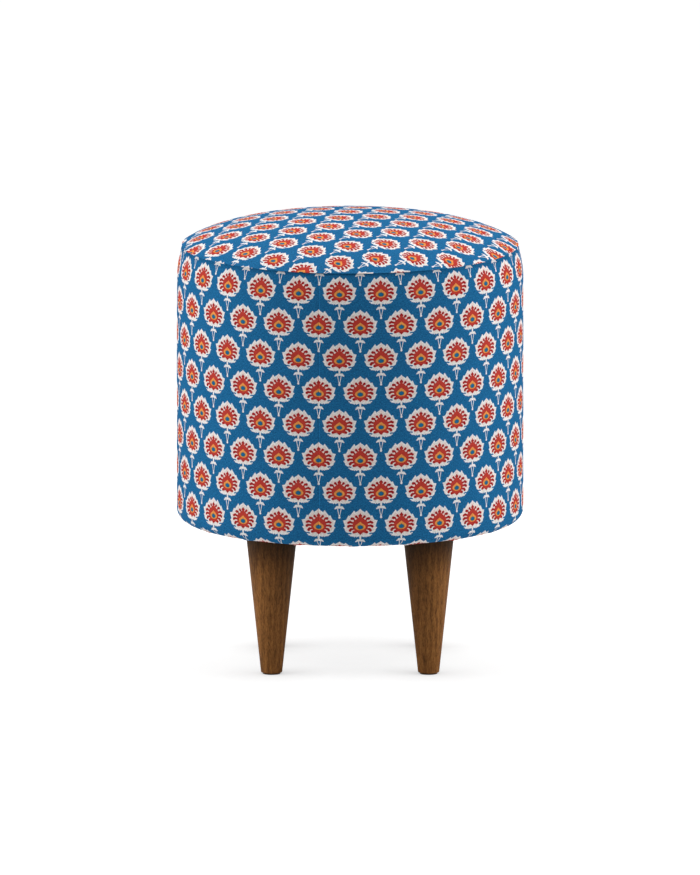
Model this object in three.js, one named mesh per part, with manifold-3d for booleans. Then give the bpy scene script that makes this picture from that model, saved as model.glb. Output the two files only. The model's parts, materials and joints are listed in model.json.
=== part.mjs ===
// Tuffet: a round upholstered stool on four tapered wooden legs.
// A drum of plywood discs, posts and a bent wall board is padded with foam and wadding.
// A crowned seat panel is sewn to a side band, whose hem is pleated and turned in under the drum.
// Millimetres, +Z up. The origin is on the floor under the middle of the drum, and the front faces -Y.

import * as THREE from "three";
import { mergeVertices } from "three/addons/utils/BufferGeometryUtils.js";
import Module from "manifold-3d";

const wasm = await Module();
wasm.setup();

// Outer form
const DRUM_DIAMETER = 360; // across the side cover
const WALL_HEIGHT = 287; // from the underside of the drum up to the seam round the seat
const LEG_HEIGHT = 150; // from the floor to the underside of the drum
const CROWN_HEIGHT = 31.8; // how far the seat stands above its seam
const CROWN_EDGE = 9; // how much of that height its rounded edge takes
const EDGE_POWER = 9; // shape of that edge: a higher power is tighter
const SEAM_INSET = 4; // how far the wall draws in at the seam
const SEAM_STRIP = 6; // height below the seam that its doubled cloth holds straight
const SHOULDER_HEIGHT = 27; // height over which the wall then swells to the full diameter
const LOWER_EDGE_RADIUS = 10.5; // rounding between wall and underside

// Covers
const FABRIC = 1; // thickness of the printed cloth
const SEAM_ALLOWANCE = 10; // cloth turned down inside the seam
const HEM_WIDTH = 28; // how far the side cover reaches in under the drum
const PLEATS = 18; // folds that take up the hem's spare cloth
const PLEAT_DEPTH = 1.6; // how far a fold stands down at the hem's inner edge
const PLEAT_POWER = 0.6; // a lower power raises the folds nearer to the drum's edge
const DUST_CLOTH = 0.6; // thickness of the lining under the drum
const DUST_LAP = 6; // how far the lining covers the hem
const DUST_STEP = 5; // width over which the lining steps up to the base board

// Padding and the strips round the frame
const STRIP_JOINT = 1; // between the ends of each strip wrapped round the frame
const SIDE_WADDING = 4;
const SIDE_FOAM = 10;
const SEAT_WADDING = 6;
const SEAT_FOAM = 50;

// Frame
const WALL_BOARD = 3; // thickness of the bent board round the frame
const BASE_BOARD = 18;
const TOP_BOARD = 15;
const POST_WIDTH = 40;
const POST_SETBACK = 1.5; // from a post's outer corners to the edge of the boards
const SCREW_LENGTH = 50;
const SCREW_DIAMETER = 5;
const SCREW_HEAD = 9.5;
const SCREW_HEAD_DEPTH = 2.8;
const SCREW_TIP = 7;

// Legs and their fixings
const LEG_TOP_DIAMETER = 54;
const LEG_FOOT_DIAMETER = 22;
const LEG_TO_HEM = 9.7; // from the hem's inner edge to a leg
const LEG_TOP_CHAMFER = 1;
const FOOT_ROUNDING = 1.6;
const PAD_DIAMETER = 18;
const PAD_THICKNESS = 1.2;
const BOLT_DIAMETER = 8;
const BOLT_IN_LEG = 35;
const BOLT_PAST_NUT = 3;
const BOLT_CHAMFER = 1;
const NUT_BARREL_DIAMETER = 10;
const NUT_BARREL_LENGTH = 13;
const NUT_FLANGE_DIAMETER = 24;
const NUT_FLANGE = 1.6;

const GAP = 0.3; // clearance between pieces that lie against each other

// Facets
const FOLD_FACETS = 3; // one rising, one falling and one flat between two folds
const AROUND = PLEATS * FOLD_FACETS; // facets round the drum
const CROWN_RINGS = [0, 0.3, 0.52, 0.7, 0.82, 0.9, 0.96]; // shares of the crown's radius
const SHOULDER_RINGS = [1, 0.5, 0.2, 0]; // shares of the shoulder's height
const EDGE_STEPS = 3;
const LEG_FACETS = 28;
const SMALL_FACETS = 12;

// Layers, as depths in from the outer surface of the drum
const sideWaddingOut = FABRIC + GAP;
const sideWaddingIn = sideWaddingOut + SIDE_WADDING;
const sideFoamOut = sideWaddingIn + GAP;
const sideFoamIn = sideFoamOut + SIDE_FOAM;
const wallBoardOut = sideFoamIn + GAP;
const wallBoardIn = wallBoardOut + WALL_BOARD;
const seatWaddingOut = FABRIC + GAP;
const seatFoamOut = seatWaddingOut + SEAT_WADDING + GAP;

// Radii
const drumRadius = DRUM_DIAMETER / 2;
const seamRadius = drumRadius - SEAM_INSET;
const crownRadius = seamRadius - 2 * FABRIC - GAP;
const boardRadius = drumRadius - wallBoardIn - GAP;
const edgeCentreRadius = drumRadius - LOWER_EDGE_RADIUS;
const hemRadius = drumRadius - HEM_WIDTH;
const legCircleRadius = hemRadius - LEG_TO_HEM - LEG_TOP_DIAMETER / 2;
const postFaceRadius = Math.sqrt((boardRadius - POST_SETBACK) ** 2 - (POST_WIDTH / 2) ** 2);
const postCircleRadius = postFaceRadius - POST_WIDTH / 2;

// Heights
const drumBottom = LEG_HEIGHT;
const seamHeight = drumBottom + WALL_HEIGHT;
const seatTop = seamHeight + CROWN_HEIGHT;
const baseBottom = drumBottom + FABRIC + GAP;
const baseTop = baseBottom + BASE_BOARD;
const topBoardTop = seatTop - seatFoamOut - SEAT_FOAM - GAP;
const topBoardBottom = topBoardTop - TOP_BOARD;
const paddingBottom = drumBottom + sideFoamOut;
const liningTop = baseBottom - GAP;
const legTop = liningTop - DUST_CLOTH - GAP;
const legBottom = PAD_THICKNESS + GAP;
const nutFlangeBottom = baseTop + GAP;
const boltBottom = legTop - BOLT_IN_LEG;
const boltTop = nutFlangeBottom + NUT_FLANGE + BOLT_PAST_NUT;

// Where the repeated pieces stand, as an angle round the drum from +X
const POST_SIDES = { right: 0, back: Math.PI / 2, left: Math.PI, front: -Math.PI / 2 };
const LEG_CORNERS = {
  back_right: Math.PI / 4,
  back_left: (3 * Math.PI) / 4,
  front_left: (-3 * Math.PI) / 4,
  front_right: -Math.PI / 4,
};

const FINISHES = {
  printed_cloth: { color: 0x1f63a0, roughness: 0.9, metalness: 0 },
  lining_cloth: { color: 0x1b1b1d, roughness: 0.95, metalness: 0 },
  wadding: { color: 0xf1efe9, roughness: 1, metalness: 0 },
  foam: { color: 0xe6d9a8, roughness: 1, metalness: 0 },
  plywood: { color: 0xcaa877, roughness: 0.75, metalness: 0 },
  post_wood: { color: 0xd8bb8c, roughness: 0.7, metalness: 0 },
  wall_board: { color: 0x8a6b4a, roughness: 0.85, metalness: 0 },
  leg_wood: { color: 0x6b4426, roughness: 0.5, metalness: 0 },
  zinc_steel: { color: 0xb9bcbf, roughness: 0.35, metalness: 1 },
  felt: { color: 0x3a2c22, roughness: 1, metalness: 0 },
};

const tuffet = new THREE.Group();

function addPiece(name, geometry, finish) {
  const mesh = new THREE.Mesh(geometry, new THREE.MeshStandardMaterial(FINISHES[finish]));
  mesh.name = name;
  tuffet.add(mesh);
  return mesh;
}

function point(radius, height) {
  return new THREE.Vector2(radius, height);
}

// Turns an outline of radius and height round the vertical axis. The outline runs anticlockwise:
// out along the bottom, up the outside and back in.
function turn(outline, facets) {
  return new THREE.LatheGeometry(outline, facets).rotateX(Math.PI / 2);
}

// The same for a ring, whose outline doesn't touch the axis and so has to close on itself.
function turnRing(outline, facets) {
  return turn([...outline, outline[0]], facets);
}

function toSolid(geometry) {
  const bare = geometry.clone();
  bare.deleteAttribute("normal");
  bare.deleteAttribute("uv");
  const merged = mergeVertices(bare);
  return new wasm.Manifold(
    new wasm.Mesh({
      numProp: 3,
      vertProperties: merged.attributes.position.array,
      triVerts: new Uint32Array(merged.index.array),
    }),
  );
}

function toGeometry(solid) {
  const mesh = solid.getMesh();
  const geometry = new THREE.BufferGeometry();
  geometry.setAttribute("position", new THREE.BufferAttribute(mesh.vertProperties, 3));
  geometry.setIndex(new THREE.BufferAttribute(mesh.triVerts, 1));
  geometry.computeVertexNormals();
  return geometry;
}

function cut(geometry, tools) {
  const solid = tools.reduce((left, tool) => left.subtract(toSolid(tool)), toSolid(geometry));
  return toGeometry(solid);
}

// Radius of the drum's wall at a height: full below, then drawn in along the shoulder to the seam.
function wallRadius(height) {
  const belowStrip = seamHeight - SEAM_STRIP - height;
  const share = THREE.MathUtils.clamp(belowStrip / SHOULDER_HEIGHT, 0, 1);
  return drumRadius - SEAM_INSET * (1 - share) ** 2;
}

// The wall's line from one height up to another, a layer's depth in from the surface.
function wallLine(depth, low, high) {
  const rings = SHOULDER_RINGS.map((share) => seamHeight - SEAM_STRIP - share * SHOULDER_HEIGHT);
  const heights = [low, ...rings.filter((height) => height > low && height < high), high];
  return heights.map((height) => point(wallRadius(height) - depth, height));
}

// The rounded lower edge, from the underside out and up to the wall.
function lowerEdgeLine(depth) {
  const radius = LOWER_EDGE_RADIUS - depth;
  const steps = Array.from({ length: EDGE_STEPS + 1 }, (_, step) => step / EDGE_STEPS);
  return steps.map((share) => {
    const angle = (share * Math.PI) / 2;
    return point(
      edgeCentreRadius + radius * Math.sin(angle),
      drumBottom + LOWER_EDGE_RADIUS - radius * Math.cos(angle),
    );
  });
}

// Height of the seat at a radius: a shallow dome, which falls away at its rounded edge.
function crownHeight(radius) {
  const share = radius / crownRadius;
  const dome = (CROWN_HEIGHT - CROWN_EDGE) * share ** 2;
  const edge = CROWN_EDGE * share ** EDGE_POWER;
  return seamHeight + CROWN_HEIGHT - dome - edge;
}

// The crown's line from the middle of the seat out to a radius, a layer's depth down.
function crownLine(depth, radius) {
  const rings = CROWN_RINGS.map((share) => share * crownRadius).filter((ring) => ring < radius);
  return [...rings, radius].map((ring) => point(ring, crownHeight(ring) - depth));
}

// Places a tool or piece that stands on the axis at a radius and an angle round the drum.
function moveOut(geometry, radius, angle) {
  return geometry.translate(radius * Math.cos(angle), radius * Math.sin(angle), 0);
}

// The cut between the two ends of a strip that is wrapped round the frame.
function jointCut(angle) {
  const cutter = new THREE.BoxGeometry(drumRadius, STRIP_JOINT, 2 * WALL_HEIGHT);
  return moveOut(cutter.rotateZ(angle).translate(0, 0, drumBottom), drumRadius, angle);
}

// Countersunk wood screw, its head's face at height 0 and its tip up, grown by a clearance.
function screwShape(clearance) {
  const head = SCREW_HEAD / 2 + clearance;
  const shank = SCREW_DIAMETER / 2 + clearance;
  return turn(
    [
      point(0, -clearance),
      point(head, -clearance),
      point(head, clearance),
      point(shank, SCREW_HEAD_DEPTH + clearance),
      point(shank, SCREW_LENGTH - SCREW_TIP + clearance),
      point(0, SCREW_LENGTH + clearance),
    ],
    SMALL_FACETS,
  );
}

function baseScrew(angle, clearance) {
  const screw = screwShape(clearance).translate(0, 0, baseBottom + GAP);
  return moveOut(screw, postCircleRadius, angle);
}

function topScrew(angle, clearance) {
  const screw = screwShape(clearance).rotateX(Math.PI);
  return moveOut(screw.translate(0, 0, topBoardTop - GAP), postCircleRadius, angle);
}

// Discs, posts and the bent board that make the drum

function discOutline(radius, low, high) {
  return [point(0, low), point(radius, low), point(radius, high), point(0, high)];
}

function addBaseBoard() {
  const screwHoles = Object.values(POST_SIDES).map((angle) => baseScrew(angle, GAP));
  const nutHoles = Object.values(LEG_CORNERS).map((angle) => {
    const radius = NUT_BARREL_DIAMETER / 2 + GAP;
    const hole = turn(discOutline(radius, drumBottom, baseTop + FABRIC), SMALL_FACETS);
    return moveOut(hole, legCircleRadius, angle);
  });
  const disc = turn(discOutline(boardRadius, baseBottom, baseTop), AROUND);
  addPiece("base_board", cut(disc, [...screwHoles, ...nutHoles]), "plywood");
}

function addTopBoard() {
  const screwHoles = Object.values(POST_SIDES).map((angle) => topScrew(angle, GAP));
  const disc = turn(discOutline(boardRadius, topBoardBottom, topBoardTop), AROUND);
  addPiece("top_board", cut(disc, screwHoles), "plywood");
}

function addPosts() {
  const low = baseTop + GAP;
  const high = topBoardBottom - GAP;
  for (const [side, angle] of Object.entries(POST_SIDES)) {
    const post = new THREE.BoxGeometry(POST_WIDTH, POST_WIDTH, high - low);
    post.rotateZ(angle).translate(0, 0, (low + high) / 2);
    moveOut(post, postCircleRadius, angle);
    const drilled = cut(post, [baseScrew(angle, GAP), topScrew(angle, GAP)]);
    addPiece(`post_${side}`, drilled, "post_wood");
    addPiece(`base_screw_${side}`, baseScrew(angle, 0), "zinc_steel");
    addPiece(`top_screw_${side}`, topScrew(angle, 0), "zinc_steel");
  }
}

function addWallBoard() {
  const inner = drumRadius - wallBoardIn;
  const outer = drumRadius - wallBoardOut;
  const outline = [
    point(inner, paddingBottom),
    point(outer, paddingBottom),
    point(outer, topBoardTop),
    point(inner, topBoardTop),
  ];
  const joint = jointCut(POST_SIDES.back);
  addPiece("wall_board", cut(turnRing(outline, AROUND), [joint]), "wall_board");
}

// Foam and wadding

function addSideFoam() {
  const inner = drumRadius - sideFoamIn;
  const edge = lowerEdgeLine(sideFoamOut);
  const wall = wallLine(sideFoamOut, edge.at(-1).y, topBoardTop).slice(1);
  const outline = [point(inner, paddingBottom), ...edge, ...wall, point(inner, topBoardTop)];
  const joint = jointCut(POST_SIDES.left);
  addPiece("side_foam", cut(turnRing(outline, AROUND), [joint]), "foam");
}

// The side wadding turns in under the foam to the base board.
function addSideWadding() {
  const top = seamHeight - SEAM_ALLOWANCE - GAP;
  const outerEdge = lowerEdgeLine(sideWaddingOut);
  const innerEdge = lowerEdgeLine(sideWaddingIn);
  const outline = [
    point(boardRadius + GAP, outerEdge[0].y),
    ...outerEdge,
    ...wallLine(sideWaddingOut, outerEdge.at(-1).y, top).slice(1),
    ...wallLine(sideWaddingIn, innerEdge.at(-1).y, top).slice(1).reverse(),
    ...innerEdge.reverse(),
    point(boardRadius + GAP, innerEdge.at(-1).y),
  ];
  const joint = jointCut(POST_SIDES.right);
  addPiece("side_wadding", cut(turnRing(outline, AROUND), [joint]), "wadding");
}

function addSeatFoam() {
  const bottom = topBoardTop + GAP;
  const rim = seamRadius - sideFoamOut;
  const crown = crownLine(seatFoamOut, rim).reverse();
  const outline = [point(0, bottom), ...wallLine(sideFoamOut, bottom, crown[0].y), ...crown.slice(1)];
  addPiece("seat_foam", turn(outline, AROUND), "foam");
}

function addSeatWadding() {
  const rim = crownRadius - FABRIC - GAP;
  const under = crownLine(seatWaddingOut + SEAT_WADDING, rim);
  const over = crownLine(seatWaddingOut, rim).reverse();
  addPiece("seat_wadding", turn([...under, ...over], AROUND), "wadding");
}

// Covers

// The seat panel's edge is turned down inside the seam.
function addTopCover() {
  const allowanceBottom = seamHeight - SEAM_ALLOWANCE;
  const inner = crownLine(FABRIC, crownRadius - FABRIC);
  const outer = crownLine(0, crownRadius).reverse();
  const outline = [
    ...inner,
    point(crownRadius - FABRIC, allowanceBottom),
    point(crownRadius, allowanceBottom),
    ...outer,
  ];
  addPiece("top_cover", turn(outline, AROUND), "printed_cloth");
}

// How far a fold of the hem stands down at a radius: nothing at the drum's edge, most at the inner edge.
function foldDepth(radius) {
  const share = (edgeCentreRadius - radius) / (edgeCentreRadius - hemRadius);
  return PLEAT_DEPTH * THREE.MathUtils.clamp(share, 0, 1) ** PLEAT_POWER;
}

// Folds the hem: under the drum one line of the cloth in each fold stands down.
function pleatHem(geometry) {
  const position = geometry.attributes.position;
  const lineAngle = (2 * Math.PI) / AROUND;
  for (let i = 0; i < position.count; i++) {
    const angleFromFront = Math.atan2(position.getX(i), -position.getY(i));
    const onFold = Math.round(angleFromFront / lineAngle) % FOLD_FACETS === 0;
    const underside = position.getZ(i) < drumBottom + FABRIC / 2;
    if (underside && onFold) {
      const radius = Math.hypot(position.getX(i), position.getY(i));
      position.setZ(i, position.getZ(i) - foldDepth(radius));
    }
  }
  return geometry;
}

// The side cover's top edge is folded in behind the seam, and its hem is pleated under the drum.
function addSideCover() {
  const allowanceBottom = seamHeight - SEAM_ALLOWANCE;
  const outerEdge = lowerEdgeLine(0);
  const innerEdge = lowerEdgeLine(FABRIC);
  const outline = [
    point(hemRadius, drumBottom),
    point((hemRadius + edgeCentreRadius) / 2, drumBottom),
    ...outerEdge,
    ...wallLine(0, outerEdge.at(-1).y, seamHeight).slice(1),
    point(seamRadius - 2 * FABRIC, seamHeight),
    point(seamRadius - 2 * FABRIC, allowanceBottom),
    ...wallLine(FABRIC, innerEdge.at(-1).y, allowanceBottom).slice(1).reverse(),
    ...innerEdge.reverse(),
    point(hemRadius, drumBottom + FABRIC),
  ];
  addPiece("side_cover", pleatHem(turnRing(outline, AROUND)), "printed_cloth");
}

// The lining under the drum covers the hem's edge and steps up to lie on the base board.
function addDustCover() {
  const lapTop = drumBottom - PLEAT_DEPTH - GAP;
  const lapRadius = hemRadius + DUST_LAP;
  const stepRadius = hemRadius - GAP;
  const outline = [
    point(0, liningTop - DUST_CLOTH),
    point(stepRadius - DUST_STEP, liningTop - DUST_CLOTH),
    point(stepRadius, lapTop - DUST_CLOTH),
    point(lapRadius, lapTop - DUST_CLOTH),
    point(lapRadius, lapTop),
    point(stepRadius, lapTop),
    point(stepRadius - DUST_STEP, liningTop),
    point(0, liningTop),
  ];
  const holes = Object.values(LEG_CORNERS).map((angle) => {
    const radius = BOLT_DIAMETER / 2 + GAP;
    return moveOut(turn(discOutline(radius, boltBottom, boltTop), SMALL_FACETS), legCircleRadius, angle);
  });
  addPiece("dust_cover", cut(turn(outline, AROUND), holes), "lining_cloth");
}

// Legs and what holds them

function legShape() {
  const foot = LEG_FOOT_DIAMETER / 2;
  const top = LEG_TOP_DIAMETER / 2;
  const bore = BOLT_DIAMETER / 2 + GAP;
  const rounding = [0, 1, 2].map((step) => {
    const angle = (step * Math.PI) / 4;
    return point(
      foot - FOOT_ROUNDING + FOOT_ROUNDING * Math.sin(angle),
      legBottom + FOOT_ROUNDING - FOOT_ROUNDING * Math.cos(angle),
    );
  });
  return turn(
    [
      point(0, legBottom),
      ...rounding,
      point(top, legTop - LEG_TOP_CHAMFER),
      point(top - LEG_TOP_CHAMFER, legTop),
      point(bore, legTop),
      point(bore, boltBottom - GAP),
      point(0, boltBottom - GAP),
    ],
    LEG_FACETS,
  );
}

// Hanger bolt: one half is screwed into the leg, and the other into the nut in the base board.
function boltShape() {
  const radius = BOLT_DIAMETER / 2;
  return turn(
    [
      point(0, boltBottom),
      point(radius - BOLT_CHAMFER, boltBottom),
      point(radius, boltBottom + BOLT_CHAMFER),
      point(radius, boltTop - BOLT_CHAMFER),
      point(radius - BOLT_CHAMFER, boltTop),
      point(0, boltTop),
    ],
    SMALL_FACETS,
  );
}

// Tee nut: a flange on the base board and a barrel down inside it.
function nutShape() {
  const bore = BOLT_DIAMETER / 2 + GAP;
  const barrel = NUT_BARREL_DIAMETER / 2;
  const flange = NUT_FLANGE_DIAMETER / 2;
  const barrelBottom = nutFlangeBottom - NUT_BARREL_LENGTH;
  return turnRing(
    [
      point(bore, barrelBottom),
      point(barrel, barrelBottom),
      point(barrel, nutFlangeBottom),
      point(flange, nutFlangeBottom),
      point(flange, nutFlangeBottom + NUT_FLANGE),
      point(bore, nutFlangeBottom + NUT_FLANGE),
    ],
    SMALL_FACETS * 2,
  );
}

function addLegs() {
  for (const [corner, angle] of Object.entries(LEG_CORNERS)) {
    const pad = turn(discOutline(PAD_DIAMETER / 2, 0, PAD_THICKNESS), SMALL_FACETS * 2);
    addPiece(`leg_${corner}`, moveOut(legShape(), legCircleRadius, angle), "leg_wood");
    addPiece(`leg_bolt_${corner}`, moveOut(boltShape(), legCircleRadius, angle), "zinc_steel");
    addPiece(`tee_nut_${corner}`, moveOut(nutShape(), legCircleRadius, angle), "zinc_steel");
    addPiece(`foot_pad_${corner}`, moveOut(pad, legCircleRadius, angle), "felt");
  }
}

addBaseBoard();
addTopBoard();
addPosts();
addWallBoard();
addSideFoam();
addSideWadding();
addSeatFoam();
addSeatWadding();
addTopCover();
addSideCover();
addDustCover();
addLegs();

export default tuffet;
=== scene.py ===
# %% [markdown]
# A round tuffet, dressed for the camera
#
# The stool is a drum of boards and posts, padded with foam and wadding, covered in printed cotton and
# stood on four turned legs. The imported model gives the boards, posts and fixings as they are. This lesson
# makes what a maker would add with cloth, wadding, thread and lacquer. A shape could be copied by eye,
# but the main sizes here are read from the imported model's boxes instead, so that each new piece lies
# where its plain solid lies. Small sizes, such as a fold's, are named where they are first needed.

import json
import math

import bmesh
import bpy
import numpy as np
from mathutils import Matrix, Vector, noise


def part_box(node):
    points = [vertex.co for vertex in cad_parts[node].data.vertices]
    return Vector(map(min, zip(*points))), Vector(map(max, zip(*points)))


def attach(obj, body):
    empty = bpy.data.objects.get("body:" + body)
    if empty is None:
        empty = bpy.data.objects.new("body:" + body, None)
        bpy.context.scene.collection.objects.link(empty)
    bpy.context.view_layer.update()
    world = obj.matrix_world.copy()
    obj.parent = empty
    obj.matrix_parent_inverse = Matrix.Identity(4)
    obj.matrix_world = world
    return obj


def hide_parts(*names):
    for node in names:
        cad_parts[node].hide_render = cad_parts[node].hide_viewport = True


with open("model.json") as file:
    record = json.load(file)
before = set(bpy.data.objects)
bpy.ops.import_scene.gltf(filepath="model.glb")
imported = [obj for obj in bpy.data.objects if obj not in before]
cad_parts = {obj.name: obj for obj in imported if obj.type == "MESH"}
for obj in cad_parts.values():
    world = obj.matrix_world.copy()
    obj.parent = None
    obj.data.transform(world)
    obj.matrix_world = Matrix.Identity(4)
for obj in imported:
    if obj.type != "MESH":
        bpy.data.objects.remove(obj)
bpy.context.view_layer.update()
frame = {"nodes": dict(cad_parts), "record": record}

MM = 0.001
panel_low, panel_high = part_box("top_cover")
band_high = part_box("side_cover")[1]
base_low, base_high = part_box("base_board")

DRUM_RADIUS = band_high.y
PANEL_RADIUS = panel_high.y
SEAM_HEIGHT = band_high.z
SEAT_TOP = panel_high.z
BASE_BOTTOM = base_low.z
BOARD_RADIUS = base_high.y

print(f"drum {2 * DRUM_RADIUS:.3f} m across, seam at {SEAM_HEIGHT:.3f} m, seat top at {SEAT_TOP:.4f} m")

# %% [markdown]
# The camera
#
# The photograph was taken from about ten degrees above level with a lens so long that the sides of the
# drum and the legs don't converge. A perspective camera could stand very far away, but a parallel one
# says the same thing simply. Two facts place it: how wide the drum is in the picture, and where the foot
# of its axis stands.

# %% Place the camera
PICTURE_HEIGHT = 875
PICTURE_CENTRE = (349.5, 437.0)
DRUM_WIDTH_IN_PICTURE = 346.6
AXIS_FOOT_IN_PICTURE = (349.6, 659.2)
CAMERA_TILT = math.radians(10)
CAMERA_DISTANCE = 3.0

metres_per_pixel = 2 * DRUM_RADIUS / DRUM_WIDTH_IN_PICTURE
centre_x = (PICTURE_CENTRE[0] - AXIS_FOOT_IN_PICTURE[0]) * metres_per_pixel
centre_z = (AXIS_FOOT_IN_PICTURE[1] - PICTURE_CENTRE[1]) * metres_per_pixel / math.cos(CAMERA_TILT)
view_centre = Vector((centre_x, 0, centre_z))
towards_camera = Vector((0, -math.cos(CAMERA_TILT), math.sin(CAMERA_TILT)))

scene = bpy.context.scene


def set_down(name, data):
    """A new object with this data, at the origin of the scene."""
    item = bpy.data.objects.new(name, data)
    scene.collection.objects.link(item)
    return item


camera_data = bpy.data.cameras.new("camera")
camera_data.type = "ORTHO"
camera_data.ortho_scale = PICTURE_HEIGHT * metres_per_pixel
camera = set_down("camera", camera_data)
camera.location = view_centre + CAMERA_DISTANCE * towards_camera
camera.rotation_euler = towards_camera.to_track_quat("Z", "Y").to_euler()
scene.camera = camera
print(f"one pixel is {metres_per_pixel / MM:.4f} mm")

# %% [markdown]
# A bench for node trees
#
# Shaders and Geometry Nodes are both trees of boxes and wires. They could be wired by hand, one link at a
# time, but then a formula is hard to read. Here a wire can be added, subtracted, multiplied and divided
# like a number, and each such step puts the matching node in the tree. A node group is built once, with
# named inputs and outputs.

# %% Wires
def math_between(operation, turned_round=False):
    """A method of a wire: one math node between the wire and another wire or a number."""

    def method(wire, other):
        pair = (other, wire) if turned_round else (wire, other)
        return wire.bench.math(operation, *pair)

    return method


class Wire:
    """One output of a node. Sums and products of wires add math nodes to the same tree."""

    __add__ = math_between("ADD")
    __radd__ = math_between("ADD", turned_round=True)
    __sub__ = math_between("SUBTRACT")
    __rsub__ = math_between("SUBTRACT", turned_round=True)
    __mul__ = math_between("MULTIPLY")
    __rmul__ = math_between("MULTIPLY", turned_round=True)
    __truediv__ = math_between("DIVIDE")
    __rtruediv__ = math_between("DIVIDE", turned_round=True)

    def __init__(self, bench, socket):
        self.bench = bench
        self.socket = socket


# %% The bench
class Bench:
    """Adds nodes to one tree. Each call gives back the new node's output as a wire."""

    def __init__(self, tree):
        self.tree = tree
        self.given = {}

    def plug(self, socket, value):
        if isinstance(value, Wire):
            self.tree.links.new(value.socket, socket)
        else:
            socket.default_value = value

    def node(self, kind, inputs=None, **settings):
        node = self.tree.nodes.new(kind)
        for name, value in settings.items():
            setattr(node, name, value)
        for key, value in (inputs or {}).items():
            self.plug(node.inputs[key], value)
        return node

    def out(self, kind, inputs=None, output=0, **settings):
        return Wire(self, self.node(kind, inputs, **settings).outputs[output])

    def math(self, operation, *values, clamp=False):
        return self.out("ShaderNodeMath", dict(enumerate(values)), operation=operation, use_clamp=clamp)

    def vector(self, operation, *values):
        output = 1 if operation in ("DOT_PRODUCT", "LENGTH", "DISTANCE") else 0
        return self.out("ShaderNodeVectorMath", dict(enumerate(values)), output, operation=operation)

    def scale(self, vector, factor):
        """A vector made longer or shorter, or a colour made lighter or darker, by a number."""
        return self.out("ShaderNodeVectorMath", {0: vector, 3: factor}, operation="SCALE")

    def join(self, x, y, z=0.0):
        return self.out("ShaderNodeCombineXYZ", {0: x, 1: y, 2: z})

    def split(self, vector):
        node = self.node("ShaderNodeSeparateXYZ", {0: vector})
        return [Wire(self, output) for output in node.outputs]

    def step(self, value, low, high):
        """Rises smoothly from 0 to 1 as the value goes from low to high."""
        inputs = {"Value": value, "From Min": low, "From Max": high}
        return self.out("ShaderNodeMapRange", inputs, interpolation_type="SMOOTHSTEP")

    def mix(self, factor, first, second):
        inputs = {0: factor, 6: first, 7: second}
        return self.out("ShaderNodeMix", inputs, 2, data_type="RGBA", blend_type="MIX")

    def noise(self, point, scale, detail=2.0, roughness=0.5):
        inputs = {"Vector": point, "Scale": scale, "Detail": detail, "Roughness": roughness}
        return self.out("ShaderNodeTexNoise", inputs)


# %% Node groups
SOCKET_KINDS = {float: "NodeSocketFloat", int: "NodeSocketInt", 3: "NodeSocketVector", 4: "NodeSocketColor"}


def new_group(name, inputs, outputs, kind="ShaderNodeTree"):
    """A node group and the bench to fill it on. An input is given by its default, or else by its kind."""
    tree = bpy.data.node_groups.new(name, kind)
    for label, default in inputs.items():
        has_default = not isinstance(default, str)
        form = type(default) if isinstance(default, (int, float)) else len(default)
        socket_kind = SOCKET_KINDS[form] if has_default else default
        socket = tree.interface.new_socket(label, in_out="INPUT", socket_type=socket_kind)
        if has_default:
            socket.default_value = default
    for label, socket_kind in outputs.items():
        tree.interface.new_socket(label, in_out="OUTPUT", socket_type=socket_kind)
    bench = Bench(tree)
    entry = tree.nodes.new("NodeGroupInput")
    bench.given = {socket.name: Wire(bench, socket) for socket in entry.outputs if socket.name}
    return tree, bench


def finish_group(bench, **results):
    """Wires the results to the group's outputs; an underscore stands for a space in a name."""
    exit_node = bench.tree.nodes.new("NodeGroupOutput")
    for name, wire in results.items():
        bench.plug(exit_node.inputs[name.replace("_", " ")], wire)
    print(f"group {bench.tree.name}: {len(bench.tree.nodes)} nodes")


def use_group(bench, tree, **inputs):
    """Places a group in another tree and gives back its outputs by name."""
    node = bench.tree.nodes.new("ShaderNodeGroup")
    node.node_tree = tree
    for name, value in inputs.items():
        bench.plug(node.inputs[name.replace("_", " ")], value)
    return {socket.name: Wire(bench, socket) for socket in node.outputs}


# %% [markdown]
# The printed sprig
#
# The cotton is printed with one small sprig over and over: a pale halo of pointed petals, a red flower
# with a ring of comma-shaped petals, an amber ring round a blue eye, and a short stem with a bead. It
# could be drawn as an image, but an image blurs when the camera comes close. Here it is drawn by formula.
# Every petal is a dab of ink: a line from its root to its tip, thick at one end and fine at the other.
# The nearest dab decides the colour at a point.

# %% A dab of ink
dab_group, bench = new_group(
    "Dab of ink",
    {
        "Point": (0.0, 0.0, 0.0),
        "Root": (0.0, 0.0, 0.0),
        "Tip": (0.0, 1.0, 0.0),
        "Root radius": 1.0,
        "Tip radius": 1.0,
    },
    {"Distance": "NodeSocketFloat"},
)
given = bench.given
from_root = bench.vector("SUBTRACT", given["Point"], given["Root"])
along = bench.vector("SUBTRACT", given["Tip"], given["Root"])
reach = bench.vector("DOT_PRODUCT", from_root, along)
share = bench.math("DIVIDE", reach, bench.vector("DOT_PRODUCT", along, along), clamp=True)
away = bench.vector("LENGTH", bench.vector("SUBTRACT", from_root, bench.scale(along, share)))
thickness = given["Root radius"] + share * (given["Tip radius"] - given["Root radius"])
finish_group(bench, Distance=away - thickness)


def nearest_dab(bench, point, dabs):
    """The distance from a point to the nearest of several dabs; negative inside one."""
    nearest = None
    for root, tip, thick, fine in dabs:
        ends = {"Root": (*root, 0), "Tip": (*tip, 0), "Root_radius": thick, "Tip_radius": fine}
        distance = use_group(bench, dab_group, Point=point, **ends)["Distance"]
        nearest = distance if nearest is None else bench.math("MINIMUM", nearest, distance)
    return nearest


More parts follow.
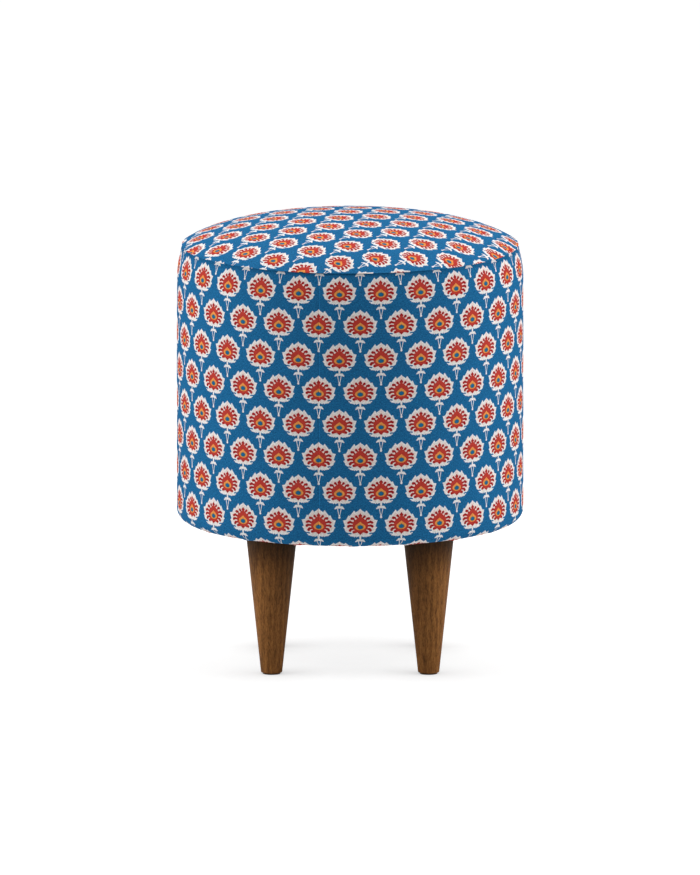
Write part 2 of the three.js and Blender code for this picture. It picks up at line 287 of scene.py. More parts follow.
def oval(bench, point, centre, radii):
    """About the distance from a point to an oval; negative inside it."""
    offset = bench.vector("SUBTRACT", point, (*centre, 0))
    share = bench.vector("LENGTH", bench.vector("DIVIDE", offset, (*radii, 1)))
    return (share - 1.0) * min(radii)


# %% [markdown]
# The sprig is the same on its left and right, so only one half is drawn, in millimetres from the flower's
# eye, and the point is mirrored before it is compared. Sprigs stand in columns, and every second column
# is moved down by half a row, which printers call a half drop. A point belongs to the sprig whose outline
# it lies in, which is widest beside the eye and slopes in above and below it: the columns overlap a
# little, because a flower fills the width where its neighbour has only a thin stem. A dab is written as
# its root, its tip, and its thickness at either end.

# %% The sprig's petals, stem and bead
HALO = [
    ((0, 15.8), (0, 18.4), 4.4, 0.7),
    ((6.4, 11.8), (6.4, 16.7), 4.4, 0.7),
    ((11.3, 5.2), (12.0, 11.2), 5.0, 1.0),
    ((12.6, 3.9), (17.7, 6.8), 5.5, 0.3),
    ((12.7, -1.3), (17.0, -0.6), 4.7, 0.5),
    ((9.7, -1.8), (13.4, -3.0), 5.3, 2.5),
    ((5.3, -9.5), (11.9, -7.7), 0.6, 0.5),
    ((7.8, -8.2), (10.2, -8.9), 2.0, 0.7),
    ((5.8, -7.8), (6.0, -10.1), 3.4, 0.6),
    ((1.8, -7.0), (3.9, -10.0), 3.5, 0.7),
    ((0, -9.6), (0, -14.4), 1.2, 0.6),
    ((0, -14.2), (2.6, -14.2), 1.2, 1.3),
    ((2.8, -14.4), (4.6, -15.7), 1.3, 0.6),
    ((1.9, -15.6), (0.5, -22.8), 0.4, 0.3),
    ((0, -22.6), (0, -24.9), 0.5, 1.15),
]
HALO_FILL = ((0, 3.4), (14.5, 12.8))
RING_OF_PETALS = [
    ((0, 10.2), (0, 11.5), 1.0, 2.1),
    ((0, 12.2), (0, 14.3), 1.8, 0.3),
    ((4.3, 11.1), (3.1, 10.0), 1.4, 0.9),
    ((8.9, 9.0), (7.0, 8.9), 1.5, 1.1),
    ((6.8, 8.5), (5.2, 6.0), 0.7, 1.1),
    ((12.4, 4.6), (10.6, 5.5), 1.3, 1.3),
    ((10.7, 5.4), (7.3, 4.3), 1.2, 0.95),
    ((12.5, 0.7), (11.2, 1.6), 1.4, 1.25),
    ((10.8, 1.5), (7.0, 1.4), 1.2, 0.95),
    ((10.6, -3.5), (10.0, -2.1), 1.5, 1.1),
    ((9.2, -2.1), (6.1, -1.9), 1.3, 0.5),
    ((6.8, -5.3), (3.5, -4.3), 1.45, 1.5),
    ((0, -5.4), (0, -7.6), 3.3, 0.6),
]
FLOWER = [((0, 5.5), (0, 10.9), 7.6, 1.0), ((3.2, -2.5), (4.3, -3.8), 2.6, 2.0)]
FLOWER_FILL = ((0, 1.6), (8.2, 7.4))
AMBER_RING = [((0, 2.0), (0, 5.5), 4.7, 0.2)]
AMBER_FILL = ((0, 0.1), (5.5, 3.4))
EYE = [((0, 0.5), (0, 2.4), 2.0, 0.3)]
EYE_FILL = ((0, -0.2), (3.2, 2.3))
print(f"{len(HALO + RING_OF_PETALS + FLOWER + AMBER_RING + EYE)} dabs and four ovals draw half a sprig")

# %% The sprigs' places and inks
COLUMN_PITCH = 43.5
ROW_PITCH = 70.0
STEM_REACH = 38.0
OUTLINE_HALF_WIDTH = 18.9
OUTLINE_TOP, OUTLINE_TOP_SLOPE = 24.4, 0.685
OUTLINE_FOOT, OUTLINE_FOOT_SLOPE = 21.06, 0.683
BLOT_FINENESS = 0.9
BLOT_REACH = 0.5


def wrapped(bench, value, low, high):
    """The value brought between low and high by whole steps, as a repeat of the print does."""
    return bench.out("ShaderNodeMath", {0: value, 1: high, 2: low}, operation="WRAP")


sprig_group, bench = new_group(
    "Printed sprigs",
    {
        "Cloth": (0.0, 0.0, 0.0),
        "Ground": (0.016, 0.156, 0.362, 1.0),
        "Halo": (0.93, 0.91, 0.90, 1.0),
        "Halo middle": (0.95, 0.80, 0.75, 1.0),
        "Petals": (0.43, 0.022, 0.024, 1.0),
        "Flower": (0.60, 0.055, 0.040, 1.0),
        "Amber": (0.90, 0.36, 0.09, 1.0),
        "Eye rim": (0.10, 0.16, 0.09, 1.0),
    },
    {"Color": "NodeSocketColor", "Ink": "NodeSocketFloat"},
)
cloth = bench.given["Cloth"]
blot = bench.out("ShaderNodeTexNoise", {"Vector": cloth, "Scale": BLOT_FINENESS, "Detail": 1.0}, 1)
blot = bench.vector("SUBTRACT", blot, (0.5, 0.5, 0.5))
x, y, _ = bench.split(bench.vector("ADD", cloth, bench.scale(blot, BLOT_REACH)))
half = COLUMN_PITCH / 2
x_here = bench.math("ABSOLUTE", wrapped(bench, x, -half, half))
x_beside = bench.math("ABSOLUTE", wrapped(bench, x + half, -half, half))
y_here = wrapped(bench, y, -STEM_REACH, ROW_PITCH - STEM_REACH)
y_beside = wrapped(bench, y + ROW_PITCH / 2, -STEM_REACH, ROW_PITCH - STEM_REACH)
shoulder = bench.math("MINIMUM", OUTLINE_HALF_WIDTH, OUTLINE_TOP - OUTLINE_TOP_SLOPE * y_here)
outline = bench.math("MINIMUM", shoulder, OUTLINE_FOOT + OUTLINE_FOOT_SLOPE * y_here)
is_here = bench.math("LESS_THAN", x_here, outline)
sprig_x = x_beside + is_here * (x_here - x_beside)
sprig_y = y_beside + is_here * (y_here - y_beside)
point = bench.join(sprig_x, sprig_y)
print(f"columns every {COLUMN_PITCH} mm and sprigs every {ROW_PITCH} mm along them")

# %% Ink the sprig
HALO_EDGE = 1.8
HALO_BLUR = 0.5
INK_EDGE = 0.12
EYE_RIM = 0.6


def drawn(bench, point, dabs, fill):
    """The distance to a figure made of several dabs and an oval that fills its middle."""
    return bench.math("MINIMUM", nearest_dab(bench, point, dabs), oval(bench, point, *fill))


def inked(bench, distance):
    """1 under the ink and 0 outside it, with an edge as soft as ink in cotton."""
    return bench.step(distance, INK_EDGE, -INK_EDGE)


given = bench.given
halo = drawn(bench, point, HALO, HALO_FILL)
petals = nearest_dab(bench, point, RING_OF_PETALS)
flower = drawn(bench, point, FLOWER, FLOWER_FILL)
amber = drawn(bench, point, AMBER_RING, AMBER_FILL)
eye = drawn(bench, point, EYE, EYE_FILL)
halo_depth = bench.step(halo, -HALO_EDGE, -HALO_EDGE - HALO_BLUR)
halo_color = bench.mix(halo_depth, given["Halo"], given["Halo middle"])
color = bench.mix(inked(bench, halo), given["Ground"], halo_color)
figures = {"Petals": petals, "Flower": flower, "Amber": amber, "Eye rim": eye, "Ground": eye + EYE_RIM}
for ink, distance in figures.items():
    color = bench.mix(inked(bench, distance), color, given[ink])
finish_group(bench, Color=color, Ink=inked(bench, halo))

# %% [markdown]
# Threads and handling
#
# Cotton is a plain weave: each thread goes over one neighbour and under the next. Some threads are
# thicker in places, which are called slubs, and each takes the dye a little differently, which shows as
# flecks along it. A bump image could fake it, but waves crossed with waves give real over-and-under
# threads at any distance. A second group holds what use does to every surface: soft clouds of fading and
# dust.

# %% The weave group
weave_group, bench = new_group(
    "Plain weave",
    {"Cloth": (0.0, 0.0, 0.0), "Thread pitch": 0.6, "Slubs": 0.5, "Flecks": 1.0},
    {"Height": "NodeSocketFloat", "Shade": "NodeSocketFloat"},
)
given = bench.given


def along_threads(across, along, detail, apart=0.0):
    """Noise drawn out along the warp and along the weft, added up, about 0 on the mean."""
    warp = bench.noise(bench.vector("MULTIPLY", given["Cloth"], (across, along, 0)), 1.0, detail)
    weft = bench.noise(bench.vector("MULTIPLY", given["Cloth"], (along, across, apart)), 1.0, detail)
    return warp + weft - 1.0


warp_turn, weft_turn, _ = bench.split(bench.scale(given["Cloth"], math.pi / given["Thread pitch"]))
warp = bench.math("COSINE", warp_turn)
weft = bench.math("COSINE", weft_turn)
warp_on_top = bench.step(warp * weft, -0.15, 0.15)
weft_height = bench.math("ABSOLUTE", weft)
thread_height = weft_height + warp_on_top * (bench.math("ABSOLUTE", warp) - weft_height)
slub = along_threads(1.3, 0.11, 2.0) * given["Slubs"]
fleck = along_threads(1.5, 0.55, 1.0, apart=7) * given["Flecks"]
# Painted shade: the thread_height term paints the crowns of the threads lighter and the hollows between them
# darker.
shade = 0.93 + thread_height * 0.1 + slub * 0.35 + fleck
finish_group(bench, Height=thread_height * 0.7 + slub * 0.6 + fleck * 0.2, Shade=shade)

# %% The handling group
handling_group, bench = new_group(
    "Handling",
    {"Point": (0.0, 0.0, 0.0), "Cloud size": 60.0, "Strength": 0.1},
    {"Shade": "NodeSocketFloat", "Polish": "NodeSocketFloat"},
)
cloud_point = bench.scale(bench.given["Point"], 1.0 / bench.given["Cloud size"])
cloud = bench.noise(cloud_point, 1.0, 3.0, 0.55) - 0.5
fine_cloud = bench.noise(cloud_point, 7.0, 3.0, 0.6) - 0.5
strength = bench.given["Strength"]
shade = 1.0 + strength * (cloud + fine_cloud * 0.5)
finish_group(bench, Shade=shade, Polish=strength * (fine_cloud + cloud * 0.6))

# %% [markdown]
# The printed cotton
#
# The cloth's finish is matt: cotton fibre scatters the light, and the ink lies only a little smoother. One
# material could do for all the cotton, but the seat panel and the side band were cut differently: the
# band's sprigs stand upright, twenty-six to the round, and the seat's lie turned by an eighth of a
# circle, as the cutter laid the disc on the cloth. Both read the piece's own map, which holds the place
# on the flat cloth in metres, so the print follows every fold. On the band, its closing seam shows as a
# fine pale line, and painted shade darkens the cloth just under the seat's rim, where the rim shades it.

# %% Helpers for materials
def new_material(name):
    """A bare material: its bench and the node of its surface shader."""
    material = bpy.data.materials.new(name)
    material.use_nodes = True
    bench = Bench(material.node_tree)
    surface = material.node_tree.nodes["Principled BSDF"]
    return material, bench, surface


def own_map(bench):
    """The place on the flat cloth, in millimetres."""
    return bench.scale(bench.out("ShaderNodeUVMap", uv_map="cloth"), 1 / MM)


def object_point(bench):
    """The place on the object, in millimetres."""
    return bench.scale(bench.out("ShaderNodeTexCoord", output=3), 1 / MM)


def raise_bump(bench, surface, height, depth):
    """Feeds a height that runs from 0 to 1 to the surface as real relief of that depth."""
    bump = bench.out("ShaderNodeBump", {"Height": height, "Strength": 1.0, "Distance": depth})
    bench.plug(surface.inputs["Normal"], bump)


# %% The cotton's finish
THREAD_PITCH = 0.62
THREAD_RELIEF = 0.12 * MM
INK_RELIEF = 0.15
FLECKS_BARE = 1.5
FLECKS_HIDDEN_BY_INK = 0.9
MATT, INK_SHINE = 0.86, 0.05
COTTON_SPECULAR = 0.04
SEAM_LINE_FROM, SEAM_LINE_WITHIN = 0.8, 0.2
SEAM_LINE_PALER = 0.5
# Painted shade on the band, just under the seat's rim, where the rim overhangs it.
RIM_SHADE_FROM, RIM_SHADE_ABOVE = 432.5, 436.5
RIM_SHADE_DARKER = 0.17


def printed_cotton(name, print_point, seam_place=None):
    """The printed cloth; print_point turns a place on the cloth into a place in the print."""
    material, bench, surface = new_material(name)
    cloth = own_map(bench)
    printed = use_group(bench, sprig_group, Cloth=print_point(bench, cloth))
    flecks = FLECKS_BARE - FLECKS_HIDDEN_BY_INK * printed["Ink"]
    weave = use_group(bench, weave_group, Cloth=cloth, Thread_pitch=THREAD_PITCH, Slubs=0.5, Flecks=flecks)
    handled = use_group(bench, handling_group, Point=object_point(bench), Cloud_size=70.0, Strength=0.08)
    shade = weave["Shade"] * handled["Shade"]
    if seam_place is not None:
        along, up, _ = bench.split(cloth)
        from_seam = bench.math("ABSOLUTE", along - seam_place / MM)
        # Painted shade: the band is painted darker just under the seat's rim, where the rim overhangs it.
        rim_shade = bench.step(up, RIM_SHADE_FROM, RIM_SHADE_ABOVE)
        seam_line = bench.step(from_seam, SEAM_LINE_FROM, SEAM_LINE_WITHIN)
        shade = shade * (1.0 + SEAM_LINE_PALER * seam_line) * (1.0 - RIM_SHADE_DARKER * rim_shade)
    bench.plug(surface.inputs["Base Color"], bench.scale(printed["Color"], shade))
    bench.plug(surface.inputs["Roughness"], MATT + handled["Polish"] - INK_SHINE * printed["Ink"])
    surface.inputs["Specular IOR Level"].default_value = COTTON_SPECULAR
    raise_bump(bench, surface, weave["Height"] + INK_RELIEF * printed["Ink"], THREAD_RELIEF)
    return material


# %% Lay the print on the band and on the seat
SPRIGS_ROUND_BAND = 26
FIRST_COLUMN_ANGLE = math.radians(-3.55)
FIRST_EYE_HEIGHT = 416.5 * MM
BAND_SEAM_ANGLE = math.radians(-10.3)
SEAT_EYE_PLACE = Vector((-2.9, -121.7))
SEAT_PRINT_TURN = math.radians(45)
SEAT_PRINT_PITCH = (41.1, 68.3)


def band_print(bench, cloth):
    """The band's cloth runs round the drum, its map in metres from the front, and up it from the floor."""
    first_column = FIRST_COLUMN_ANGLE * DRUM_RADIUS / MM
    fitted = COLUMN_PITCH * SPRIGS_ROUND_BAND * MM / (2 * math.pi * DRUM_RADIUS)
    offset = bench.vector("SUBTRACT", cloth, (first_column, FIRST_EYE_HEIGHT / MM, 0))
    return bench.vector("MULTIPLY", offset, (fitted, 1, 1))


def seat_print(bench, cloth):
    """The seat's cloth is turned by an eighth of a circle and pulled a little tighter than the band's."""
    offset = bench.vector("SUBTRACT", cloth, (*SEAT_EYE_PLACE, 0))
    turn = {"Vector": offset, "Angle": SEAT_PRINT_TURN}
    turned = bench.out("ShaderNodeVectorRotate", turn, rotation_type="Z_AXIS")
    stretch = (COLUMN_PITCH / SEAT_PRINT_PITCH[0], ROW_PITCH / SEAT_PRINT_PITCH[1], 1)
    return bench.vector("MULTIPLY", turned, stretch)


band_cotton = printed_cotton("printed_cotton_band", band_print, BAND_SEAM_ANGLE * DRUM_RADIUS)
seat_cotton = printed_cotton("printed_cotton_seat", seat_print)
print(f"{SPRIGS_ROUND_BAND} columns of sprigs round the band")

# %% [markdown]
# The leg's wood, the frame's wood and the boards
#
# The legs are stained brown under a satin lacquer. Their grain runs along the leg: soft rings cut at a
# slant, long streaks, and short dark pores. Planed posts and plywood have the same kinds of line in other
# colours, so one grain group serves them all. The grain could be painted on flat, but a pattern that
# fills the space shows the right lines on the sides and the ends alike. The legs also carry painted
# shade: their wood is painted darker towards the top, where the drum shades it, and on the inner sides.

# %% The grain group
RING_SLANT = (0.93, 0.37, 0.02)
grain_group, bench = new_group(
    "Wood grain",
    {
        "Point": (0.0, 0.0, 0.0),
        "Ring pitch": 7.0,
        "Ring strength": 0.3,
        "Wander": 22.0,
        "Streak width": 1.8,
        "Streak length": 50.0,
        "Pore strength": 0.6,
        "Dark": (0.1, 0.04, 0.01, 1.0),
        "Light": (0.3, 0.14, 0.05, 1.0),
        "Pore": (0.04, 0.015, 0.005, 1.0),
    },
    {"Color": "NodeSocketColor", "Height": "NodeSocketFloat"},
)
given = bench.given
point = given["Point"]
wander = bench.noise(bench.vector("MULTIPLY", point, (0.035, 0.035, 0.012)), 1.0, 2.0)
from_heart = bench.vector("DOT_PRODUCT", point, RING_SLANT)
ring_place = (from_heart + wander * given["Wander"]) / given["Ring pitch"]
ring = 0.5 + 0.5 * bench.math("SINE", ring_place * (2 * math.pi))
width, length = given["Streak width"], given["Streak length"]
streak_point = bench.vector("DIVIDE", point, bench.join(width, width, length))
streak = bench.noise(streak_point, 1.0, 3.0, 0.6)
fibre = bench.noise(bench.vector("MULTIPLY", streak_point, (3.7, 3.7, 3.3)), 1.0, 2.0, 0.6)
pore_noise = bench.noise(bench.vector("MULTIPLY", streak_point, (2.6, 2.6, 4.5)), 1.0, 1.0)
pores = bench.step(pore_noise, 0.58, 0.68)
level = (ring - 0.5) * given["Ring strength"] + 0.9 * streak + 0.7 * fibre
light = bench.step(level, 0.47, 1.13)
wood = bench.mix(light, given["Dark"], given["Light"])
wood = bench.mix(pores * given["Pore strength"], wood, given["Pore"])
finish_group(bench, Color=wood, Height=0.75 * fibre + 0.25 * light - 0.5 * pores)


# %% The woods
def wood_material(name, colors, roughness, relief, along="z", glue_and_painted_shade=None, **grain_inputs):
    """Wood in three colours, from dark to light and the pores, with its grain along z or along x."""
    material, bench, surface = new_material(name)
    point = object_point(bench)
    if along == "x":
        x, y, z = bench.split(point)
        point = bench.join(y, z, x)
    dark, light, pore = colors
    grain = use_group(bench, grain_group, Point=point, Dark=dark, Light=light, Pore=pore, **grain_inputs)
    handled = use_group(bench, handling_group, Point=point, Cloud_size=40.0, Strength=0.16)
    # For plywood this darkening is its real glue lines; for the legs it is painted shade.
    shade = handled["Shade"] if glue_and_painted_shade is None else handled["Shade"] * glue_and_painted_shade(bench)
    bench.plug(surface.inputs["Base Color"], bench.scale(grain["Color"], shade))
    bench.plug(surface.inputs["Roughness"], roughness + handled["Polish"])
    raise_bump(bench, surface, grain["Height"], relief)
    return material, surface


LEG_COLORS = ((0.12, 0.046, 0.011, 1), (0.43, 0.180, 0.046, 1), (0.05, 0.019, 0.005, 1))
POST_COLORS = ((0.50, 0.34, 0.17, 1), (0.72, 0.55, 0.33, 1), (0.36, 0.22, 0.10, 1))
PLY_COLORS = ((0.44, 0.30, 0.16, 1), (0.64, 0.48, 0.29, 1), (0.32, 0.20, 0.10, 1))
BOARD_COLORS = ((0.20, 0.12, 0.06, 1), (0.27, 0.17, 0.09, 1), (0.15, 0.09, 0.05, 1))
PLY_LAYER = 1.5
GLUE_DARKER = 0.4
# Painted shade on the legs: the wood is painted darker towards the top, under the drum, and on the inner
# sides.
TOP_SHADE_FROM, TOP_SHADE_FULL = 98, 146
TOP_SHADE_DARKER = 0.8
INNER_SHADE_LOW, INNER_SHADE_HIGH = 50, 110
INNER_SIDE_FROM, INNER_SIDE_WITHIN = 90, 66
INNER_SHADE_DARKER = 0.33


def painted_leg_shade(bench):
    """Painted shade: darker towards the top, under the drum, and on the inner sides facing the middle."""
    x, y, height = bench.split(bench.vector("ABSOLUTE", object_point(bench)))
    inner = bench.step(bench.math("MINIMUM", x, y), INNER_SIDE_FROM, INNER_SIDE_WITHIN)
    inner_shade = INNER_SHADE_DARKER * bench.step(height, INNER_SHADE_LOW, INNER_SHADE_HIGH)
    return (1.0 - TOP_SHADE_DARKER * bench.step(height, TOP_SHADE_FROM, TOP_SHADE_FULL)) * (1.0 - inner * inner_shade)


def glue_lines(bench):
    """The dark lines between the layers of plywood, which show only on its edges."""
    layer = bench.math("PINGPONG", bench.split(object_point(bench))[2], PLY_LAYER)
    up = bench.split(bench.out("ShaderNodeNewGeometry", output=1))[2]
    on_edge = bench.step(bench.math("ABSOLUTE", up), 0.5, 0.3)
    return 1.0 - GLUE_DARKER * on_edge * bench.step(layer, 0.55 * PLY_LAYER, 0.45 * PLY_LAYER)


leg_wood, surface = wood_material(
    "leg_wood", LEG_COLORS, 0.55, 0.05 * MM, glue_and_painted_shade=painted_leg_shade,
    Ring_pitch=6.0, Ring_strength=0.12, Wander=6.0, Streak_width=1.3, Streak_length=22.0, Pore_strength=0.55,
)
surface.inputs["Specular IOR Level"].default_value = 0.12
post_wood, _ = wood_material("post_wood", POST_COLORS, 0.7, 0.1 * MM, Ring_pitch=9.0, Pore_strength=0.2)
hardboard, _ = wood_material("hardboard", BOARD_COLORS, 0.85, 0.05 * MM, Ring_pitch=30.0, Pore_strength=0.1)
plywood, _ = wood_material(
    "plywood", PLY_COLORS, 0.72, 0.1 * MM, along="x", glue_and_painted_shade=glue_lines, Ring_pitch=14.0, Pore_strength=0.3
)
print("woods:", ", ".join(wood.name for wood in (leg_wood, post_wood, hardboard, plywood)))

# %% [markdown]
# Lining, wadding, foam, felt, steel and thread
#
# These are the finishes that show only when the stool is turned over or opened. Black spunbond is pressed
# fibre with a grid of small weld points. Wadding is loose fibre, foam is full of cells, felt is matted.
# Zinc plate on the screws and bolts has a bright, slightly clouded face, and the staples are galvanised
# wire. Each could be one grey or white, but its own texture is what tells a hand which one it is.

# %% Matted, loose and pressed fibre
FIBRE_MATT = 0.95
WELD_PITCH = 1.6


def fibre_material(name, dark, light, scale, relief):
    """Matted or loose fibre in two tones."""
    material, bench, surface = new_material(name)
    point = object_point(bench)
    strands = bench.noise(point, scale, 5.0, 0.65)
    tangle = bench.noise(point, scale * 0.23, 3.0, 0.6)
    handled = use_group(bench, handling_group, Point=point, Cloud_size=50.0, Strength=0.12)
    color = bench.mix(bench.step(strands * 0.6 + tangle * 0.4, 0.35, 0.65), dark, light)
    bench.plug(surface.inputs["Base Color"], bench.scale(color, handled["Shade"]))
    bench.plug(surface.inputs["Roughness"], FIBRE_MATT + handled["Polish"])
    raise_bump(bench, surface, strands + tangle * 0.5, relief)
    return material


def spunbond_material():
    """Pressed black fibre with its weld points, seen on the lining under the drum."""
    material, bench, surface = new_material("spunbond")
    point = object_point(bench)
    x, y, _ = bench.split(point)
    from_weld = bench.join(*(bench.math("PINGPONG", place, WELD_PITCH) for place in (x, y)))
    weld = bench.step(bench.vector("LENGTH", from_weld), 0.65, 0.45)
    strands = bench.noise(bench.vector("MULTIPLY", point, (1, 1, 0.1)), 2.4, 5.0, 0.7)
    handled = use_group(bench, handling_group, Point=point, Cloud_size=45.0, Strength=0.25)
    color = bench.mix(strands, (0.008, 0.008, 0.009, 1), (0.035, 0.035, 0.038, 1))
    bench.plug(surface.inputs["Base Color"], bench.scale(color, handled["Shade"]))
    bench.plug(surface.inputs["Roughness"], 0.75 - 0.3 * weld)
    raise_bump(bench, surface, strands * 0.6 - weld, 0.15 * MM)
    return material


wadding = fibre_material("wadding", (0.72, 0.71, 0.68, 1), (0.90, 0.89, 0.86, 1), 0.9, 0.6 * MM)
foam = fibre_material("foam", (0.62, 0.52, 0.25, 1), (0.84, 0.76, 0.48, 1), 2.2, 0.4 * MM)
felt = fibre_material("felt", (0.05, 0.03, 0.02, 1), (0.13, 0.08, 0.05, 1), 2.5, 0.2 * MM)
spunbond = spunbond_material()


# %% Plated steel and sewing thread
METAL_RELIEF = 0.02 * MM


def metal_material(name, color, roughness):
    """Plated steel: bright, with faint clouds and fine rolling marks."""
    material, bench, surface = new_material(name)
    point = object_point(bench)
    handled = use_group(bench, handling_group, Point=point, Cloud_size=9.0, Strength=0.22)
    marks = bench.noise(bench.vector("MULTIPLY", point, (6, 6, 1)), 1.0, 3.0)
    plated = bench.mix(marks, color, (0.5, 0.5, 0.5, 1))
    bench.plug(surface.inputs["Base Color"], bench.scale(plated, handled["Shade"]))
    bench.plug(surface.inputs["Roughness"], roughness + handled["Polish"])
    surface.inputs["Metallic"].default_value = 1.0
    raise_bump(bench, surface, marks, METAL_RELIEF)
    return material


def thread_material():
    """Polyester sewing thread, dyed to match the ground of the print."""
    material, bench, surface = new_material("thread")
    point = object_point(bench)
    x, y, z = bench.split(point)
    # Painted shade: the twist paints the ridges of the thread lighter and the grooves between them darker.
    twist = 0.5 + 0.5 * bench.math("SINE", (x + y) * 9.0 + z * 14.0)
    color = bench.mix(twist, (0.012, 0.10, 0.25, 1), (0.03, 0.19, 0.42, 1))
    bench.plug(surface.inputs["Base Color"], color)
    surface.inputs["Roughness"].default_value = 0.6
    raise_bump(bench, surface, twist, 0.05 * MM)
    return material


zinc = metal_material("zinc_plate", (0.66, 0.67, 0.69, 1), 0.32)
staple_wire = metal_material("staple_wire", (0.60, 0.60, 0.62, 1), 0.38)
thread = thread_material()
print(f"{len(bpy.data.materials)} materials")

# %% [markdown]
# Finishes on the frame
#
# The boards, posts, screws, bolts, nuts and felt pads are already right as solids. They could be made
# again, but a solid that is right only needs its finish, so each takes its material by the slot that the
# record gives it.

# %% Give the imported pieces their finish
FINISH_OF_SLOT = {
    "plywood": plywood,
    "post_wood": post_wood,
    "wall_board": hardboard,
    "zinc_steel": zinc,
    "felt": felt,
    "leg_wood": leg_wood,
    "printed_cloth": band_cotton,
    "lining_cloth": spunbond,
    "wadding": wadding,
    "foam": foam,
}
for subpart in frame["record"]["subparts"]:
    node = frame["nodes"][subpart["node"]]
    node.data.materials.clear()
    node.data.materials.append(FINISH_OF_SLOT[subpart["material_slot"]])
print(f"{len(frame['nodes'])} packed pieces finished")

# %% [markdown]
# Helpers for meshes
#
# The covers are sheets: rows of points along an outline, repeated round the drum. Spin could make them,
# but here each column can be moved by itself, which the seam and the pleats need. One helper makes a
# sheet from a grid of points with its flat-cloth map, and another makes a closed ring or disc from an
# outline, for the padding.

# %% Meshes from grids and outlines
def new_piece(name, points, faces, material):
    """A mesh object from points and faces, smooth, at the origin."""
    mesh = bpy.data.meshes.new(name)
    mesh.from_pydata([tuple(p) for p in points], [], faces)
    mesh.materials.append(material)
    mesh.polygons.foreach_set("use_smooth", [True] * len(mesh.polygons))
    mesh.update()
    return set_down(name, mesh)


def set_cloth_map(piece, corner_places):
    """Stores the place on the flat cloth of each face corner, in metres."""
    layer = piece.data.uv_layers.new(name="cloth")
    layer.uv.foreach_set("vector", np.asarray(corner_places, dtype=np.float32).ravel())


def give_thickness(piece, thickness):
    """Thickens a sheet inwards, so that its outer face stays where it was drawn."""
    solidify = piece.modifiers.new("cloth thickness", "SOLIDIFY")
    solidify.thickness = thickness
    solidify.offset = -1
    bake_modifiers(piece)


def bake_modifiers(piece):
    """Turns the piece with its modifiers into a plain mesh and removes them."""
    evaluated = piece.evaluated_get(bpy.context.evaluated_depsgraph_get())
    mesh = bpy.data.meshes.new_from_object(evaluated)
    piece.modifiers.clear()
    piece.data = mesh


def tidy_solid(piece):
    """Merges the points at the axis and turns all faces outwards."""
    work = bmesh.new()
    work.from_mesh(piece.data)
    bmesh.ops.remove_doubles(work, verts=work.verts, dist=0.01 * MM)
    bmesh.ops.recalc_face_normals(work, faces=work.faces)
    work.to_mesh(piece.data)
    work.free()


def report(piece):
    """Prints how large a piece is and how high it lies."""
    places = np.array([v.co for v in piece.data.vertices]) / MM
    low, high = places.min(axis=0), places.max(axis=0)
    size = " x ".join(f"{length:.1f}" for length in high - low)
    print(f"{piece.name}: {size} mm, {low[2]:.1f} to {high[2]:.1f} mm high, {len(piece.data.polygons)} faces")


# %% [markdown]
# The seat panel
#
# The seat is a disc of printed cotton over wadding and a crowned foam block. The crown could be drawn as
# an arc, but cloth that is held at its seam and pushed from below finds its own curve. So the panel
# starts a little low, on the bare block, is held at the seam, and a cloth simulation presses it up as the
# wadding does. It can't sink into the block, and its rise is scaled to end at the height of the seat.

# %% Lay out the seat panel
EDGE_SHARE = 9 / 31.8
EDGE_POWER = 10
RIM_LIFT = 1.7 * MM
BARE_BLOCK_SHARE = 0.93
PANEL_CELLS = 64
RIM_CROWDING = 1.5
CLOTH_THICKNESS = 0.6 * MM
crown_height = SEAT_TOP - SEAM_HEIGHT
edge_height = EDGE_SHARE * crown_height
swell_height = crown_height - edge_height


def edge_rise(share):
    """Height of the seat's rounded edge above the seam, at a share of the panel's radius."""
    return RIM_LIFT + (edge_height - RIM_LIFT) * (1 - share**EDGE_POWER)


def crown_rise(share):
    """Height of the finished seat above the seam."""
    return edge_rise(share) + swell_height * (1 - share**2)


def disc_places(cells):
    """A square grid pressed into a disc of radius 1, with its rings closer together near the rim."""
    side = np.linspace(-1, 1, cells + 1)
    a, b = np.meshgrid(side, side, indexing="ij")
    wide = np.abs(a) > np.abs(b)
    safe_a = np.where(a == 0, 1, a)
    safe_b = np.where(b == 0, 1, b)
    angle = np.where(wide, math.pi / 4 * b / safe_a, math.pi / 2 - math.pi / 4 * a / safe_b)
    signed = np.where(wide, a, b)
    radius = 1 - (1 - np.abs(signed)) ** RIM_CROWDING
    signed = np.sign(signed) * radius
    return signed * np.cos(angle), signed * np.sin(angle)


x_share, y_share = disc_places(PANEL_CELLS)
share = np.minimum(np.hypot(x_share, y_share), 1).ravel()
drawn_swell = swell_height * (1 - share**2)
panel_points = np.column_stack(
    [
        x_share.ravel() * PANEL_RADIUS,
        y_share.ravel() * PANEL_RADIUS,
        SEAM_HEIGHT + edge_rise(share) + BARE_BLOCK_SHARE * drawn_swell,
    ]
)
row = PANEL_CELLS + 1
panel_faces = [
    (i * row + j, (i + 1) * row + j, (i + 1) * row + j + 1, i * row + j + 1)
    for i in range(PANEL_CELLS)
    for j in range(PANEL_CELLS)
]
seat_panel = new_piece("seat_panel", panel_points, panel_faces, seat_cotton)
print(f"seat panel: {len(panel_points)} points")
print(f"its edge rises {edge_height / MM:.1f} mm and its middle {swell_height / MM:.1f} mm more")

# %% Let the wadding press the panel up
SETTLE_FRAMES = 20
SWELL_PRESSURE = 8.0
AT_RIM = 0.9999


